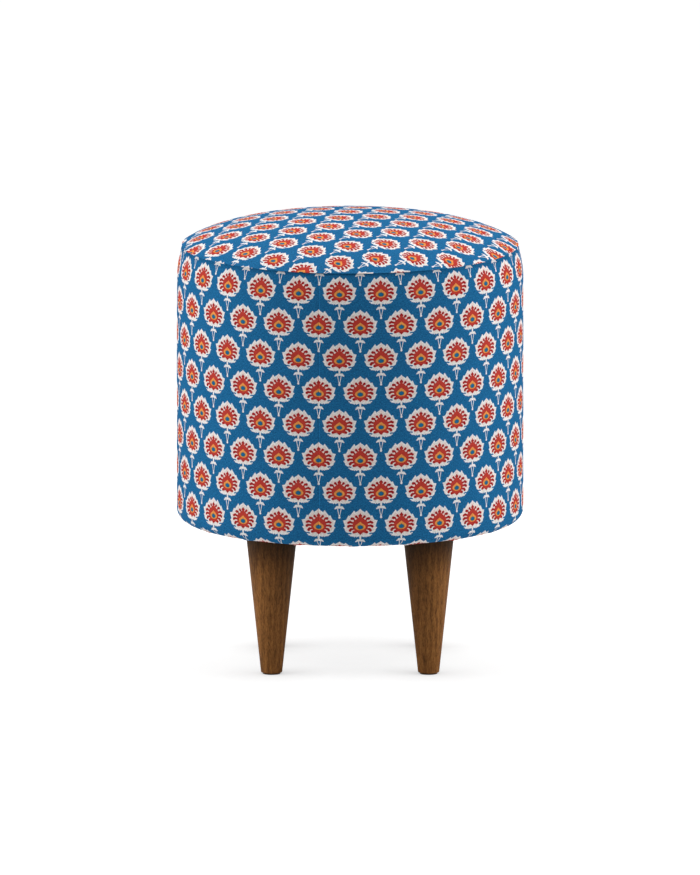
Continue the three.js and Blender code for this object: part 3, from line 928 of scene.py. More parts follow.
def settle_cloth(piece, held, pressure):
    """Runs the cloth simulation with these points held, and gives back where the points came to rest."""
    group = piece.vertex_groups.new(name="sewn")
    group.add([int(i) for i in held], 1.0, "REPLACE")
    cloth = piece.modifiers.new("settle", "CLOTH")
    cloth.settings.vertex_group_mass = "sewn"
    cloth.settings.use_pressure = True
    cloth.settings.uniform_pressure_force = pressure
    cloth.settings.effector_weights.gravity = 0
    cloth.settings.quality = 5
    cloth.settings.tension_stiffness = 15
    cloth.settings.compression_stiffness = 15
    cloth.settings.bending_stiffness = 0.5
    cloth.point_cache.frame_start = 1
    cloth.point_cache.frame_end = SETTLE_FRAMES
    for number in range(1, SETTLE_FRAMES + 1):
        scene.frame_set(number)
    evaluated = piece.evaluated_get(bpy.context.evaluated_depsgraph_get())
    rested = np.array([v.co for v in evaluated.data.vertices])
    piece.modifiers.clear()
    piece.vertex_groups.clear()
    scene.frame_set(1)
    return rested


wadding_rise = (1 - BARE_BLOCK_SHARE) * drawn_swell
rested = settle_cloth(seat_panel, np.flatnonzero(share > AT_RIM), SWELL_PRESSURE)
settled = np.maximum(rested[:, 2] - panel_points[:, 2], 0)
print(f"the simulation raised the middle of the panel by {settled.max() / MM:.1f} mm")
settled *= wadding_rise.max() / settled.max()
off_dome = np.abs(settled - wadding_rise).max()
print(f"scaled to the seat's height, it differs from a plain dome by up to {off_dome / MM:.2f} mm")
wadding_rise = settled
panel_points[:, 2] += wadding_rise
seat_panel.data.vertices.foreach_set("co", panel_points.ravel())
seat_panel.data.update()

# %% [markdown]
# The panel's edge is sewn to the band face to face and turned down inside the seam, so a narrow roll of
# cloth shows at the rim and ten millimetres of allowance hide behind the band. The roll could be left
# out, but it stands over the band's fold and so gives the seam its fine dark line. Close to the stitches
# the cloth also puckers a little, more in some places than in others.

# %% Smooth and pucker the seat panel
ALLOWANCE = SEAM_HEIGHT - panel_low.z
PUCKER_HEIGHT = 0.22 * MM
PUCKER_REACH = 9 * MM
PUCKERS_ROUND = 78
CLOTH_GIVES = 0.7
NEAR_RIM = 0.9985


def radial_arc_length(steps=400):
    """How far along the flat cloth each share of the radius lies: part of the slope is stretch, not cloth."""
    shares = np.linspace(0, 1, steps + 1)
    flat = shares * PANEL_RADIUS
    arc = np.concatenate([[0], np.cumsum(np.hypot(np.diff(flat), np.diff(crown_rise(shares))))])
    return shares, arc - CLOTH_GIVES * (arc - flat)


def smooth_panel(piece):
    """Subdivides the cloth once, so that the crown which the simulation found is smooth."""
    subdivision = piece.modifiers.new("finer cloth", "SUBSURF")
    subdivision.levels = 1
    subdivision.render_levels = 1
    subdivision.boundary_smooth = "PRESERVE_CORNERS"
    bake_modifiers(piece)


def pucker(angle, seed):
    """How much the cloth lifts at an angle round the seam: small waves that come and go."""
    place = math.cos(angle), math.sin(angle)
    wave = math.sin(PUCKERS_ROUND * angle + 2.5 * noise.noise(Vector((*place, seed)) * 2))
    patch = noise.noise(Vector((*place, seed + 5)) * 3)
    return wave * max(0.0, 0.5 + patch)


smooth_panel(seat_panel)
vertices = np.array([v.co for v in seat_panel.data.vertices])
radius = np.hypot(vertices[:, 0], vertices[:, 1])
angle = np.arctan2(vertices[:, 1], vertices[:, 0])
rim = np.flatnonzero(radius > PANEL_RADIUS * NEAR_RIM)
for i in range(len(vertices)):
    reach = (PANEL_RADIUS - radius[i]) / PUCKER_REACH
    vertices[i, 2] += PUCKER_HEIGHT * pucker(angle[i], 1.0) * reach * math.exp(1 - reach) if reach < 6 else 0
rim = rim[np.argsort(angle[rim])]
vertices[rim, 0] = PANEL_RADIUS * np.cos(angle[rim])
vertices[rim, 1] = PANEL_RADIUS * np.sin(angle[rim])
vertices[rim, 2] = SEAM_HEIGHT + RIM_LIFT
faces = [tuple(polygon.vertices) for polygon in seat_panel.data.polygons]
print(f"{len(rim)} points round the rim")

# %% Roll the rim over, turn the allowance down and map the panel
ROLLED_OUT = [(0.85, -0.25), (1.2, -0.55), (1.1, -0.85)]
TURNED_BACK = [(0.5, -1.05), (-0.4, -1.1), (-1.2, -1.3), (-1.6, -1.8)]
ROLL = np.array(ROLLED_OUT + TURNED_BACK) * MM
allowance_in = ROLL[-1, 0]
hanging = [(allowance_in, -drop) for drop in np.linspace(-ROLL[-1, 1], ALLOWANCE + RIM_LIFT, 5)[1:]]
turned_line = np.array([(0, 0), *ROLL, *hanging]) + (PANEL_RADIUS, SEAM_HEIGHT + RIM_LIFT)
turned_lengths = np.cumsum(np.hypot(*np.diff(turned_line, axis=0).T))
shares, lengths = radial_arc_length()
points = [tuple(p) for p in vertices]
along = list(np.interp(radius / PANEL_RADIUS, shares, lengths))
loop = list(rim)
for (ring_radius, ring_height), past_rim in zip(turned_line[1:], turned_lengths):
    next_loop = list(range(len(points), len(points) + len(rim)))
    along += [lengths[-1] + past_rim] * len(rim)
    points += [(ring_radius * math.cos(angle[i]), ring_radius * math.sin(angle[i]), ring_height) for i in rim]
    for k in range(len(rim)):
        after = (k + 1) % len(rim)
        faces.append((loop[k], next_loop[k], next_loop[after], loop[after]))
    loop = next_loop
bpy.data.objects.remove(seat_panel)
seat_panel = new_piece("seat_panel", points, faces, seat_cotton)

places = []
for polygon in seat_panel.data.polygons:
    for index in polygon.vertices:
        x, y, _ = points[index]
        factor = along[index] / max(math.hypot(x, y), 1e-6)
        places.append((x * factor, y * factor))
set_cloth_map(seat_panel, places)
panel_flat_radius = along[-1]
give_thickness(seat_panel, CLOTH_THICKNESS)
report(seat_panel)

# %% [markdown]
# The side band
#
# One strip of the same cotton goes round the drum, closed by a single matched seam just left of the
# front. Its top edge is tucked in under the seat's rim and folded, and at the bottom it rounds the drum's
# edge. Underneath there is too much cloth for the smaller circle, so the maker lays it in knife pleats
# and staples it to the base board. The band could be simulated too, but it is pulled so tight that it
# keeps to the drum, and a simulation would blur its sharp folds. So its rows follow the drum's outline
# and its columns step over and back at each pleat.

# %% The band's outline, from the allowance over the fold, down the wall and in under the drum
SEAM_INSET = 4 * MM
SEAM_STRIP = 6 * MM
SHOULDER_HEIGHT = 27 * MM
LOWER_EDGE_RADIUS = 12 * MM
DRUM_BOTTOM = BASE_BOTTOM - 1.8 * MM
HEM_WIDTH = 28 * MM
TOP_FOLD = 0.7 * MM
TUCK = 1.9 * MM
TUCK_REACH = 2.6 * MM
HEM_LIFT = 0.3 * MM
seam_radius = DRUM_RADIUS - SEAM_INSET
edge_centre = DRUM_RADIUS - LOWER_EDGE_RADIUS
hem_radius = DRUM_RADIUS - HEM_WIDTH
wall_bottom = DRUM_BOTTOM + LOWER_EDGE_RADIUS
WALL_TOP = SEAM_HEIGHT - SEAM_STRIP - SHOULDER_HEIGHT


def wall_radius(height):
    """The wall is straight below, draws in along the shoulder, and is tucked in under the seat's rim."""
    share = (SEAM_HEIGHT - SEAM_STRIP - height) / SHOULDER_HEIGHT
    tuck = TUCK * math.exp(-(((SEAM_HEIGHT - height) / TUCK_REACH) ** 2))
    return DRUM_RADIUS - SEAM_INSET * (1 - min(max(share, 0), 1)) ** 2 - tuck


def band_outline():
    """Points of radius, height and place up the cloth, from the hidden allowance to the hem."""
    fold_radius = seam_radius - TUCK - TOP_FOLD
    inner = fold_radius - TOP_FOLD
    line = [(inner, height) for height in np.linspace(SEAM_HEIGHT - ALLOWANCE, SEAM_HEIGHT, 5)[:-1]]
    for turn in np.linspace(math.pi, 0, 9):
        line.append((fold_radius + TOP_FOLD * math.cos(turn), SEAM_HEIGHT + TOP_FOLD * math.sin(turn)))
    shoulder = SEAM_HEIGHT + (WALL_TOP - SEAM_HEIGHT) * np.linspace(0, 1, 20)[1:] ** 1.5
    wall = np.linspace(WALL_TOP, wall_bottom, 26)[1:]
    line += [(wall_radius(height), height) for height in [*shoulder, *wall]]
    for turn in np.linspace(0, math.pi / 2, 10)[1:]:
        out, below = LOWER_EDGE_RADIUS * math.cos(turn), LOWER_EDGE_RADIUS * math.sin(turn)
        line.append((edge_centre + out, wall_bottom - below))
    for share in np.linspace(0, 1, 9)[1:]:
        line.append((edge_centre - share * (edge_centre - hem_radius), DRUM_BOTTOM + HEM_LIFT * share))
    return np.array(line)


outline = band_outline()
down = np.concatenate([[0], np.cumsum(np.hypot(*np.diff(outline, axis=0).T))])
level_row = int(np.argmin(np.abs(outline[:, 1] - WALL_TOP)))
place_up = outline[level_row, 1] + down[level_row] - down
band_cut_height = down[-1]
band_length = 2 * math.pi * DRUM_RADIUS
print(f"the band is cut {band_cut_height / MM:.0f} mm high and {band_length / MM:.0f} mm long")

# %% The band's columns, closer together at the pleats and at the upright seam
PLEATS = 18
PLEAT_PLACE = 0.5
FOLD_COLUMNS = 12
SMOOTH_COLUMNS = 7
FOLD_WIDTH = 8 * MM
SEAM_OFFSETS = np.array([-1.6, -0.9, -0.4, 0.4, 0.9, 1.6]) * MM

pleat_length = band_length / PLEATS
fold_middle = PLEAT_PLACE * pleat_length
fold_start, fold_end = fold_middle - FOLD_WIDTH / 2, fold_middle + FOLD_WIDTH / 2
before = np.linspace(0, fold_start, SMOOTH_COLUMNS + 1)[:-1]
folded = np.linspace(fold_start, fold_end, FOLD_COLUMNS + 1)
after = np.linspace(fold_end, pleat_length, SMOOTH_COLUMNS + 1)[1:-1]
one_pleat = np.concatenate([before, folded, after])
band_start = BAND_SEAM_ANGLE * DRUM_RADIUS
cloth_places = np.concatenate([one_pleat + k * pleat_length for k in range(PLEATS)])
cloth_places = np.sort(np.concatenate([cloth_places, SEAM_OFFSETS % band_length]))
print(f"{len(cloth_places)} columns, {PLEATS} pleats of {pleat_length / MM:.1f} mm of cloth each")

# %% Where each point of the band lies
EASED_IN = 2.8 * MM
LAYER = 0.75 * MM
FOLD_EASE = 0.3 * MM
FALL_SHARE = 0.3
SEAM_GROOVE = 0.35 * MM
GROOVE_WIDTH = 0.6 * MM
UNEVENNESS = 0.35 * MM
SWELLS_ROUND, SWELLS_UP = 2.6, 14
EVEN_AT_HEM = 25 * MM
EVEN_AT_SEAM = 12 * MM
BAND_PUCKER_HEIGHT = 0.16 * MM
BAND_PUCKER_REACH = 7 * MM


def pleat_fold(place, radius):
    """Where a place along the cloth lies once pleated at a radius: its share of the pleat and its depth."""
    spare = max(0.0, pleat_length * (1 - radius / DRUM_RADIUS) - EASED_IN)
    fold = spare / 2
    first, last = fold_middle - fold / 2, fold_middle + fold / 2
    if place < first:
        moved = place
    elif place < last:
        moved = 2 * first - place
    else:
        moved = place - 2 * fold
    rise = min(max((place - first + FOLD_EASE) / (fold + 2 * FOLD_EASE), 0), 1)
    fall = min(max((place - last) / (FALL_SHARE * pleat_length), 0), 1)
    depth = 2 * LAYER * rise * (1 - fall * fall * (3 - 2 * fall)) * min(1, fold / MM)
    return moved / (pleat_length - 2 * fold), depth


def band_point(place, radius, height):
    """A point of the band: its angle from the pleats, and its radius from the seam, puckers and wadding."""
    number, rest = divmod(place, pleat_length)
    moved, depth = pleat_fold(rest, radius) if height < wall_bottom else (rest / pleat_length, 0)
    angle = BAND_SEAM_ANGLE + (number + moved) * 2 * math.pi / PLEATS
    below_seam = max(0.0, SEAM_HEIGHT - height)
    on_wall = min(1.0, max(0.0, (height - DRUM_BOTTOM) / EVEN_AT_HEM)) * min(1.0, below_seam / EVEN_AT_SEAM)
    around = Vector((math.cos(angle) * SWELLS_ROUND, math.sin(angle) * SWELLS_ROUND, height * SWELLS_UP))
    swell = UNEVENNESS * on_wall * noise.noise(around)
    reach = below_seam / BAND_PUCKER_REACH
    swell += BAND_PUCKER_HEIGHT * pucker(angle, 9.0) * reach * math.exp(1 - reach)
    from_seam = min(place, band_length - place)
    if height > DRUM_BOTTOM:
        swell -= SEAM_GROOVE * math.exp(-((from_seam / GROOVE_WIDTH) ** 2))
    r = radius + swell
    return r * math.sin(angle), -r * math.cos(angle), height - depth


# %% Build the band
columns = len(cloth_places)
rows = len(outline)
points = [band_point(place, *outline[i]) for i in range(rows) for place in cloth_places]
faces, places = [], []
for i in range(rows - 1):
    for j in range(columns):
        k = (j + 1) % columns
        faces.append((i * columns + j, (i + 1) * columns + j, (i + 1) * columns + k, i * columns + k))
        left = band_start + cloth_places[j]
        right = band_start + (cloth_places[k] if k else band_length)
        upper, lower = place_up[i], place_up[i + 1]
        places += [(left, upper), (left, lower), (right, lower), (right, upper)]
side_band = new_piece("side_band", points, faces, band_cotton)
set_cloth_map(side_band, places)
give_thickness(side_band, CLOTH_THICKNESS)
report(side_band)

# %% [markdown]
# The padding
#
# Under the covers lie a foam block with wadding over it, and a strip of foam with wadding round the drum.
# None of it shows unless the cover is taken off, but the shape of the cover comes from it. It could stay
# as plain solids; here each is turned from its own outline with softened corners and a slightly uneven
# face, as cut foam and pulled wadding have. The strips keep the joint where their two ends meet.

# %% Turn a closed outline round the drum
STRIP_JOINT = 1 * MM


def turned_piece(name, line, material, columns=144, joint=None, unevenness=0.0):
    """A solid turned from a closed outline of radius and height. A joint leaves a gap at that angle."""
    line = np.array(line)
    gap = 0 if joint is None else STRIP_JOINT / DRUM_RADIUS
    start = 0 if joint is None else joint + gap / 2
    count = columns if joint is None else columns + 1
    angles = start + np.arange(count) * (2 * math.pi - gap) / columns
    points = []
    for angle in angles:
        for radius, height in line:
            around = Vector((math.cos(angle) * radius, math.sin(angle) * radius, height)) * 30
            r = radius + unevenness * noise.noise(around) if radius > 1e-6 else 0
            lifted = height + unevenness * noise.noise(-around)
            points.append((r * math.cos(angle), r * math.sin(angle), lifted))
    rows = len(line)
    faces = []
    for a in range(columns):
        b = (a + 1) % count
        for i in range(rows):
            j = (i + 1) % rows
            faces.append((a * rows + i, b * rows + i, b * rows + j, a * rows + j))
    if joint is not None:
        faces.append(tuple(range(rows)))
        faces.append(tuple(columns * rows + i for i in reversed(range(rows))))
    piece = new_piece(name, points, faces, material)
    tidy_solid(piece)
    report(piece)
    return piece


# %% The foam block and its wadding
WADDING_DEPTH = 1.5 * MM
WADDING = 5.6 * MM
FOAM_DEPTH = 8.0 * MM
SOFT_GAP = 0.5 * MM
TOP_EDGE_CUT, LOWER_EDGE_CUT = 4 * MM, 3 * MM
SEAT_PADDING_UNEVEN, SIDE_PADDING_UNEVEN = 0.15 * MM, 0.12 * MM
foam_low, foam_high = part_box("seat_foam")
wadding_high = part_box("seat_wadding")[1]


def crown_line(depth, radius, steps=22):
    """The seat's curve a depth below the cloth, from the middle out to a radius."""
    shares = np.linspace(0, radius / PANEL_RADIUS, steps + 1)
    return [(share * PANEL_RADIUS, SEAM_HEIGHT + crown_rise(share) - depth) for share in shares]


block_radius = foam_high.y - 2 * SOFT_GAP
block_top = crown_line(FOAM_DEPTH, block_radius - TOP_EDGE_CUT)
block_side = [(block_radius, block_top[-1][1] - TOP_EDGE_CUT), (block_radius, foam_low.z + LOWER_EDGE_CUT)]
block_line = [(0, foam_low.z), *block_top, *block_side, (block_radius - LOWER_EDGE_CUT, foam_low.z)]
seat_foam_block = turned_piece("seat_foam_block", block_line, foam, unevenness=SEAT_PADDING_UNEVEN)

sheet_radius = wadding_high.y - 2 * SOFT_GAP
upper = crown_line(WADDING_DEPTH, sheet_radius)
lower = crown_line(WADDING_DEPTH + WADDING, sheet_radius)
sheet_line = [*upper, *reversed(lower)]
seat_wadding_sheet = turned_piece("seat_wadding_sheet", sheet_line, wadding, unevenness=SEAT_PADDING_UNEVEN)

# %% The foam strip and its wadding
strip_low, strip_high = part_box("side_foam")
side_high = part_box("side_wadding")[1]
BOARD_OUT = DRUM_RADIUS - 15.6 * MM
FOAM_OUT = 5.8 * MM
SIDE_WADDING_OUT = 1.5 * MM
SIDE_WADDING_IN = 5.4 * MM


def side_line(depth, low, high, steps=24):
    """The wall's line a depth in from the cloth, from low to high."""
    return [(wall_radius(height) - depth, height) for height in np.linspace(low, high, steps)]


def edge_line(depth, steps=8):
    """The rounded lower edge a depth in from the cloth, from the underside up to the wall."""
    radius = LOWER_EDGE_RADIUS - depth
    turns = np.linspace(-math.pi / 2, 0, steps + 1)
    return [(edge_centre + radius * math.cos(t), wall_bottom + radius * math.sin(t)) for t in turns]


def face_line(depth, top):
    """The whole face of a strip a depth in from the cloth: round the lower edge and up to the top."""
    return [*edge_line(depth), *side_line(depth, wall_bottom, top)[1:]]


foam_bottom, foam_top = strip_low.z + SOFT_GAP, strip_high.z - SOFT_GAP
foam_line = [(BOARD_OUT, foam_bottom), *face_line(FOAM_OUT, foam_top), (BOARD_OUT, foam_top)]
side_foam_strip = turned_piece(
    "side_foam_strip", foam_line, foam, joint=math.pi, unevenness=SIDE_PADDING_UNEVEN
)

turn_in = BOARD_RADIUS + SOFT_GAP
outer, inner = [face_line(depth, side_high.z - SOFT_GAP) for depth in (SIDE_WADDING_OUT, SIDE_WADDING_IN)]
wadding_line = [(turn_in, outer[0][1]), *outer, *reversed(inner), (turn_in, inner[0][1])]
side_wadding_strip = turned_piece(
    "side_wadding_strip", wadding_line, wadding, joint=0.0, unevenness=SIDE_PADDING_UNEVEN
)

# %% [markdown]
# The lining under the drum
#
# A disc of black spunbond hides the staples and keeps dust out of the drum. Its edge is folded under,
# laid over the pleats and stapled, and inside them it steps up to the board. A flat disc would do from
# far away. Seen from below, though, such a lining is never quite flat: it lifts between its staples and
# carries a few soft creases.

# %% Cut, fold and crease the lining
LINING_RADIUS = hem_radius + 6 * MM
LINING = 0.4 * MM
LAP_BOTTOM = DRUM_BOTTOM - 2.05 * MM
LINING_UNDER = BASE_BOTTOM - 0.9 * MM
STEP_WIDTH = 6 * MM
FOLD_IN = 7 * MM
LINING_STAPLES = 36
LINING_COLUMNS = 216
LIFT = 0.35 * MM
LIFT_REACH = 30 * MM
CREASE_FINENESS = 22
CREASES_FADE = 20 * MM


def lining_outline():
    """Radius and height from the middle out along the underside, round the folded edge and back in above."""
    step_end = hem_radius - 0.5 * MM
    line = [(radius, LINING_UNDER) for radius in np.linspace(0, step_end - STEP_WIDTH, 26)]
    for share in np.linspace(0, 1, 6)[1:]:
        drop = (LINING_UNDER - LAP_BOTTOM) * share * share * (3 - 2 * share)
        line.append((step_end - STEP_WIDTH * (1 - share), LINING_UNDER - drop))
    fold_at, fold_up = LINING_RADIUS - LINING, LAP_BOTTOM + LINING
    line += [(radius, LAP_BOTTOM) for radius in np.linspace(step_end, fold_at, 4)[1:]]
    fold = [(fold_at + LINING * math.cos(t), fold_up + LINING * math.sin(t)) for t in (-0.8, 0, 0.8)]
    back_end = LINING_RADIUS - FOLD_IN + STEP_WIDTH / 4
    back = [(radius, LAP_BOTTOM + 2 * LINING) for radius in np.linspace(fold_at, back_end, 3)]
    return line + fold + back


lining_line = lining_outline()
points = []
for radius, height in lining_line:
    for k in range(LINING_COLUMNS):
        angle = 2 * math.pi * k / LINING_COLUMNS
        between = 0.5 - 0.5 * math.cos(LINING_STAPLES * angle)
        near_edge = max(0.0, 1 - abs(radius - LINING_RADIUS) / LIFT_REACH)
        x, y = math.cos(angle) * radius * CREASE_FINENESS, math.sin(angle) * radius * CREASE_FINENESS
        crease = noise.noise(Vector((x, y, 3.0)))
        inside = min(1.0, max(0.0, (hem_radius - STEP_WIDTH - radius) / CREASES_FADE))
        sag = LIFT * between * near_edge * 0.5 + LIFT * abs(crease) * inside
        points.append((radius * math.sin(angle), -radius * math.cos(angle), height - sag))
faces = []
for i in range(len(lining_line) - 1):
    for k in range(LINING_COLUMNS):
        n = (k + 1) % LINING_COLUMNS
        a, b = i * LINING_COLUMNS, (i + 1) * LINING_COLUMNS
        faces.append((a + k, b + k, b + n, a + n))
dust_lining = new_piece("dust_lining", points, faces, spunbond)
tidy_solid(dust_lining)
if dust_lining.data.polygons[0].normal.z > 0:
    dust_lining.data.flip_normals()
give_thickness(dust_lining, LINING)
report(dust_lining)

# %% [markdown]
# The turned legs
#
# A leg is turned on a lathe: a round bar that tapers from the drum down to a slender foot, with the sharp
# corners at both ends eased. Spin could turn a drawn profile, but a leg whose shape follows a rule is a
# good first Geometry Nodes tree. It takes a plain cylinder, gathers its rings towards both ends, and sets
# each ring's radius from the taper and the two roundings. The four legs are the same tree at four places.
# The wood's grain fills the whole space, so each leg shows another cut of it.

# %% The leg tree
def finish_geometry(bench, geometry):
    """Ends a tree of Geometry Nodes: copies are made real and take the material that the tree is given."""
    real = bench.out("GeometryNodeRealizeInstances", {"Geometry": geometry})
    finished = bench.out("GeometryNodeSetMaterial", {"Geometry": real, "Material": bench.given["Material"]})
    finish_group(bench, Geometry=finished)


leg_tree, bench = new_group(
    "Turned leg",
    {
        "Geometry": "NodeSocketGeometry",
        "Place": (0.0, 0.0, 0.0),
        "Height": 0.15,
        "Foot diameter": 0.022,
        "Top diameter": 0.054,
        "Foot rounding": 0.0006,
        "Top rounding": 0.001,
        "Sides": 80,
        "Rings": 56,
        "Material": "NodeSocketMaterial",
    },
    {"Geometry": "NodeSocketGeometry"},
    kind="GeometryNodeTree",
)
given = bench.given
bar = bench.out(
    "GeometryNodeMeshCylinder",
    {"Vertices": given["Sides"], "Side Segments": given["Rings"], "Radius": 1.0, "Depth": 2.0},
    fill_type="NGON",
)
x, y, z = bench.split(bench.out("GeometryNodeInputPosition"))
up_share = 0.5 - 0.5 * bench.math("COSINE", (z + 1.0) * (math.pi / 2))
from_foot = up_share * given["Height"]
from_top = given["Height"] - from_foot


def eased_corner(distance, rounding):
    """How much the radius shrinks at this distance from an end, for a corner rounded by a quarter circle."""
    left = 1.0 - bench.math("DIVIDE", distance, rounding, clamp=True)
    return rounding * (1.0 - bench.math("SQRT", bench.math("MAXIMUM", 1.0 - left * left, 0.0)))


foot = given["Foot diameter"] * 0.5
taper = foot + (given["Top diameter"] * 0.5 - foot) * up_share
foot_ease = eased_corner(from_foot, given["Foot rounding"])
top_ease = eased_corner(from_top, given["Top rounding"])
radius = taper - foot_ease - top_ease
turned = bench.vector("ADD", bench.join(x * radius, y * radius, from_foot), given["Place"])
shaped = bench.out("GeometryNodeSetPosition", {"Geometry": bar, "Position": turned})
smooth = bench.out("GeometryNodeSetShadeSmooth", {"Geometry": shaped, "Shade Smooth": True})
finish_geometry(bench, smooth)


# %% Turn the four legs
def grow(piece, tree, **values):
    """Runs a Geometry Nodes tree on a piece with these inputs and keeps the result as a plain mesh."""
    modifier = piece.modifiers.new(tree.name, "NODES")
    modifier.node_group = tree
    for item in tree.interface.items_tree:
        name = item.name.replace(" ", "_")
        if item.in_out == "INPUT" and name in values:
            modifier[item.identifier] = values[name]
    bake_modifiers(piece)
    report(piece)
    return piece


FOOT_DIAMETER = 22 * MM
turned_legs = {}
for corner in ("front_left", "front_right", "back_left", "back_right"):
    low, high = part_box(f"leg_{corner}")
    middle = (low + high) / 2
    name = f"turned_leg_{corner}"
    turned_legs[corner] = grow(
        set_down(name, bpy.data.meshes.new(name)),
        leg_tree,
        Place=(middle.x, middle.y, low.z),
        Height=high.z - low.z,
        Foot_diameter=FOOT_DIAMETER,
        Top_diameter=high.y - low.y,
        Material=leg_wood,
    )

# %% [markdown]
# Stitches and staples
#
# The seat panel and the band are joined by a lockstitch seam. Its thread lies deep in the groove between
# them, nearly hidden by the rolled rim. Under the drum, staples hold the lining. Each could be placed by
# a loop, but a row that follows a path is what Geometry Nodes do best: the path is cut into even steps,
# one small shape is set on each step along the path, and a seeded lean keeps staples from looking ruled.
# One tree serves both rows.

# %% The row tree
row_tree, bench = new_group(
    "Row along a path",
    {
        "Geometry": "NodeSocketGeometry",
        "Shape": "NodeSocketObject",
        "Count": 100,
        "Lean": 0.05,
        "Seed": 1,
        "Material": "NodeSocketMaterial",
    },
    {"Geometry": "NodeSocketGeometry"},
    kind="GeometryNodeTree",
)
given = bench.given
path = bench.out("GeometryNodeMeshToCurve", {"Mesh": given["Geometry"]})
even = bench.out("GeometryNodeResampleCurve", {"Curve": path, "Count": given["Count"]})
ahead = {"Factor": 1.0, "Vector": bench.out("GeometryNodeInputTangent")}
facing = bench.out("FunctionNodeAlignRotationToVector", ahead, axis="X", pivot_axis="Z")
lean = bench.node("FunctionNodeRandomValue", data_type="FLOAT")
bench.plug(lean.inputs[2], given["Lean"] * -1.0)
bench.plug(lean.inputs[3], given["Lean"])
bench.plug(lean.inputs["Seed"], given["Seed"])
swing = {"Axis": (0, 0, 1), "Angle": Wire(bench, lean.outputs[1])}
turn = bench.out("FunctionNodeAxisAngleToRotation", swing)
rotation = bench.out("FunctionNodeRotateRotation", {0: facing, 1: turn})
shape = bench.node("GeometryNodeObjectInfo", {"Object": given["Shape"]}, transform_space="ORIGINAL")
placed = bench.out(
    "GeometryNodeInstanceOnPoints",
    {"Points": even, "Instance": Wire(bench, shape.outputs["Geometry"]), "Rotation": rotation},
)
finish_geometry(bench, placed)

# %% Sew the seam and drive the staples
STITCH_PITCH = 3.0 * MM
STITCH_LENGTH = 2.5 * MM
THREAD_WIDTH = 0.45 * MM
STITCH_DEPTH = 0.5 * MM
STAPLE_CROWN = 9.5 * MM
STAPLE_WIRE = 0.6 * MM
STAPLE_LEG = 1.2 * MM
STAPLES_IN_FROM_EDGE = 4 * MM


def ring_path(name, radius, height, steps=240):
    """A closed path of short edges round the drum."""
    mesh = bpy.data.meshes.new(name)
    angles = [2 * math.pi * k / steps for k in range(steps)]
    points = [(radius * math.cos(a), radius * math.sin(a), height) for a in angles]
    mesh.from_pydata(points, [(k, (k + 1) % steps) for k in range(steps)], [])
    return set_down(name, mesh)


def lens_shape(name, length, width, sides=6):
    """A short thread, thickest in the middle and pointed where it dives into the cloth."""
    rings = [(-0.32, 0.8), (0.0, 1.0), (0.32, 0.8)]
    points = [(-length / 2, 0, 0)]
    for along, share in rings:
        for k in range(sides):
            a = 2 * math.pi * k / sides
            points.append((along * length, width / 2 * share * math.cos(a), width / 2 * share * math.sin(a)))
    points.append((length / 2, 0, 0))
    last = len(points) - 1
    faces = [(0, 1 + (k + 1) % sides, 1 + k) for k in range(sides)]
    for ring in range(len(rings) - 1):
        a, b = 1 + ring * sides, 1 + (ring + 1) * sides
        faces += [(a + k, a + (k + 1) % sides, b + (k + 1) % sides, b + k) for k in range(sides)]
    a = 1 + (len(rings) - 1) * sides
    faces += [(last, a + k, a + (k + 1) % sides) for k in range(sides)]
    return new_piece(name, points, faces, thread)


def staple_shape(name):
    """A bent wire: its crown lies along the path and its two legs go up into the board."""
    half, wire, leg = STAPLE_CROWN / 2, STAPLE_WIRE / 2, STAPLE_LEG
    hollow = half - 2 * wire
    outer = [(-half, leg), (-half, 0), (-half + wire, -wire), (half - wire, -wire), (half, 0), (half, leg)]
    line = outer + [(hollow, leg), (hollow, wire), (-hollow, wire), (-hollow, leg)]
    points = [(x, side * wire, z) for side in (-1, 1) for x, z in line]
    count = len(line)
    faces = [(k, (k + 1) % count, count + (k + 1) % count, count + k) for k in range(count)]
    front = [(0, 1, 8, 9), (1, 2, 8), (2, 3, 7, 8), (3, 4, 7), (4, 5, 6, 7)]
    faces += [tuple(reversed(face)) for face in front]
    faces += [tuple(count + k for k in face) for face in front]
    shape = new_piece(name, points, faces, staple_wire)
    tidy_solid(shape)
    return shape


stitch = lens_shape("stitch_shape", STITCH_LENGTH, THREAD_WIDTH)
stitch_radius = (PANEL_RADIUS + allowance_in + seam_radius - TUCK - 2 * TOP_FOLD) / 2
seam_path = ring_path("seam_stitches", stitch_radius, SEAM_HEIGHT - STITCH_DEPTH)
stitch_count = round(2 * math.pi * stitch_radius / STITCH_PITCH)
seam_stitches = grow(
    seam_path, row_tree, Shape=stitch, Count=stitch_count, Lean=0.04, Seed=4, Material=thread
)

staple = staple_shape("staple_shape")
staple_radius = LINING_RADIUS - STAPLES_IN_FROM_EDGE
staple_path = ring_path("lining_staples", staple_radius, LAP_BOTTOM - STAPLE_WIRE / 2)
lining_staples = grow(
    staple_path, row_tree, Shape=staple, Count=LINING_STAPLES, Lean=0.14, Seed=7, Material=staple_wire
)
for shape in (stitch, staple):
    bpy.data.objects.remove(shape)
print(f"{stitch_count} stitches of {STITCH_PITCH / MM:.0f} mm and {LINING_STAPLES} staples")

# %% [markdown]
# Floor and light
#
# The photograph is a plain studio shot on a white sweep. One broad light hangs high behind the stool, a
# high and a low one stand on each side, and none is in front, so the flanks of the drum are lighter than
# its middle, and its front is lit only by the floor. The floor could be a plain white plane, but then it
# is either grey or without shadow. Here the light sees a white floor, while the camera sees the same
# floor brightened until only the shadows stay off white. Close to the feet it is darker, where they keep
# off the light.

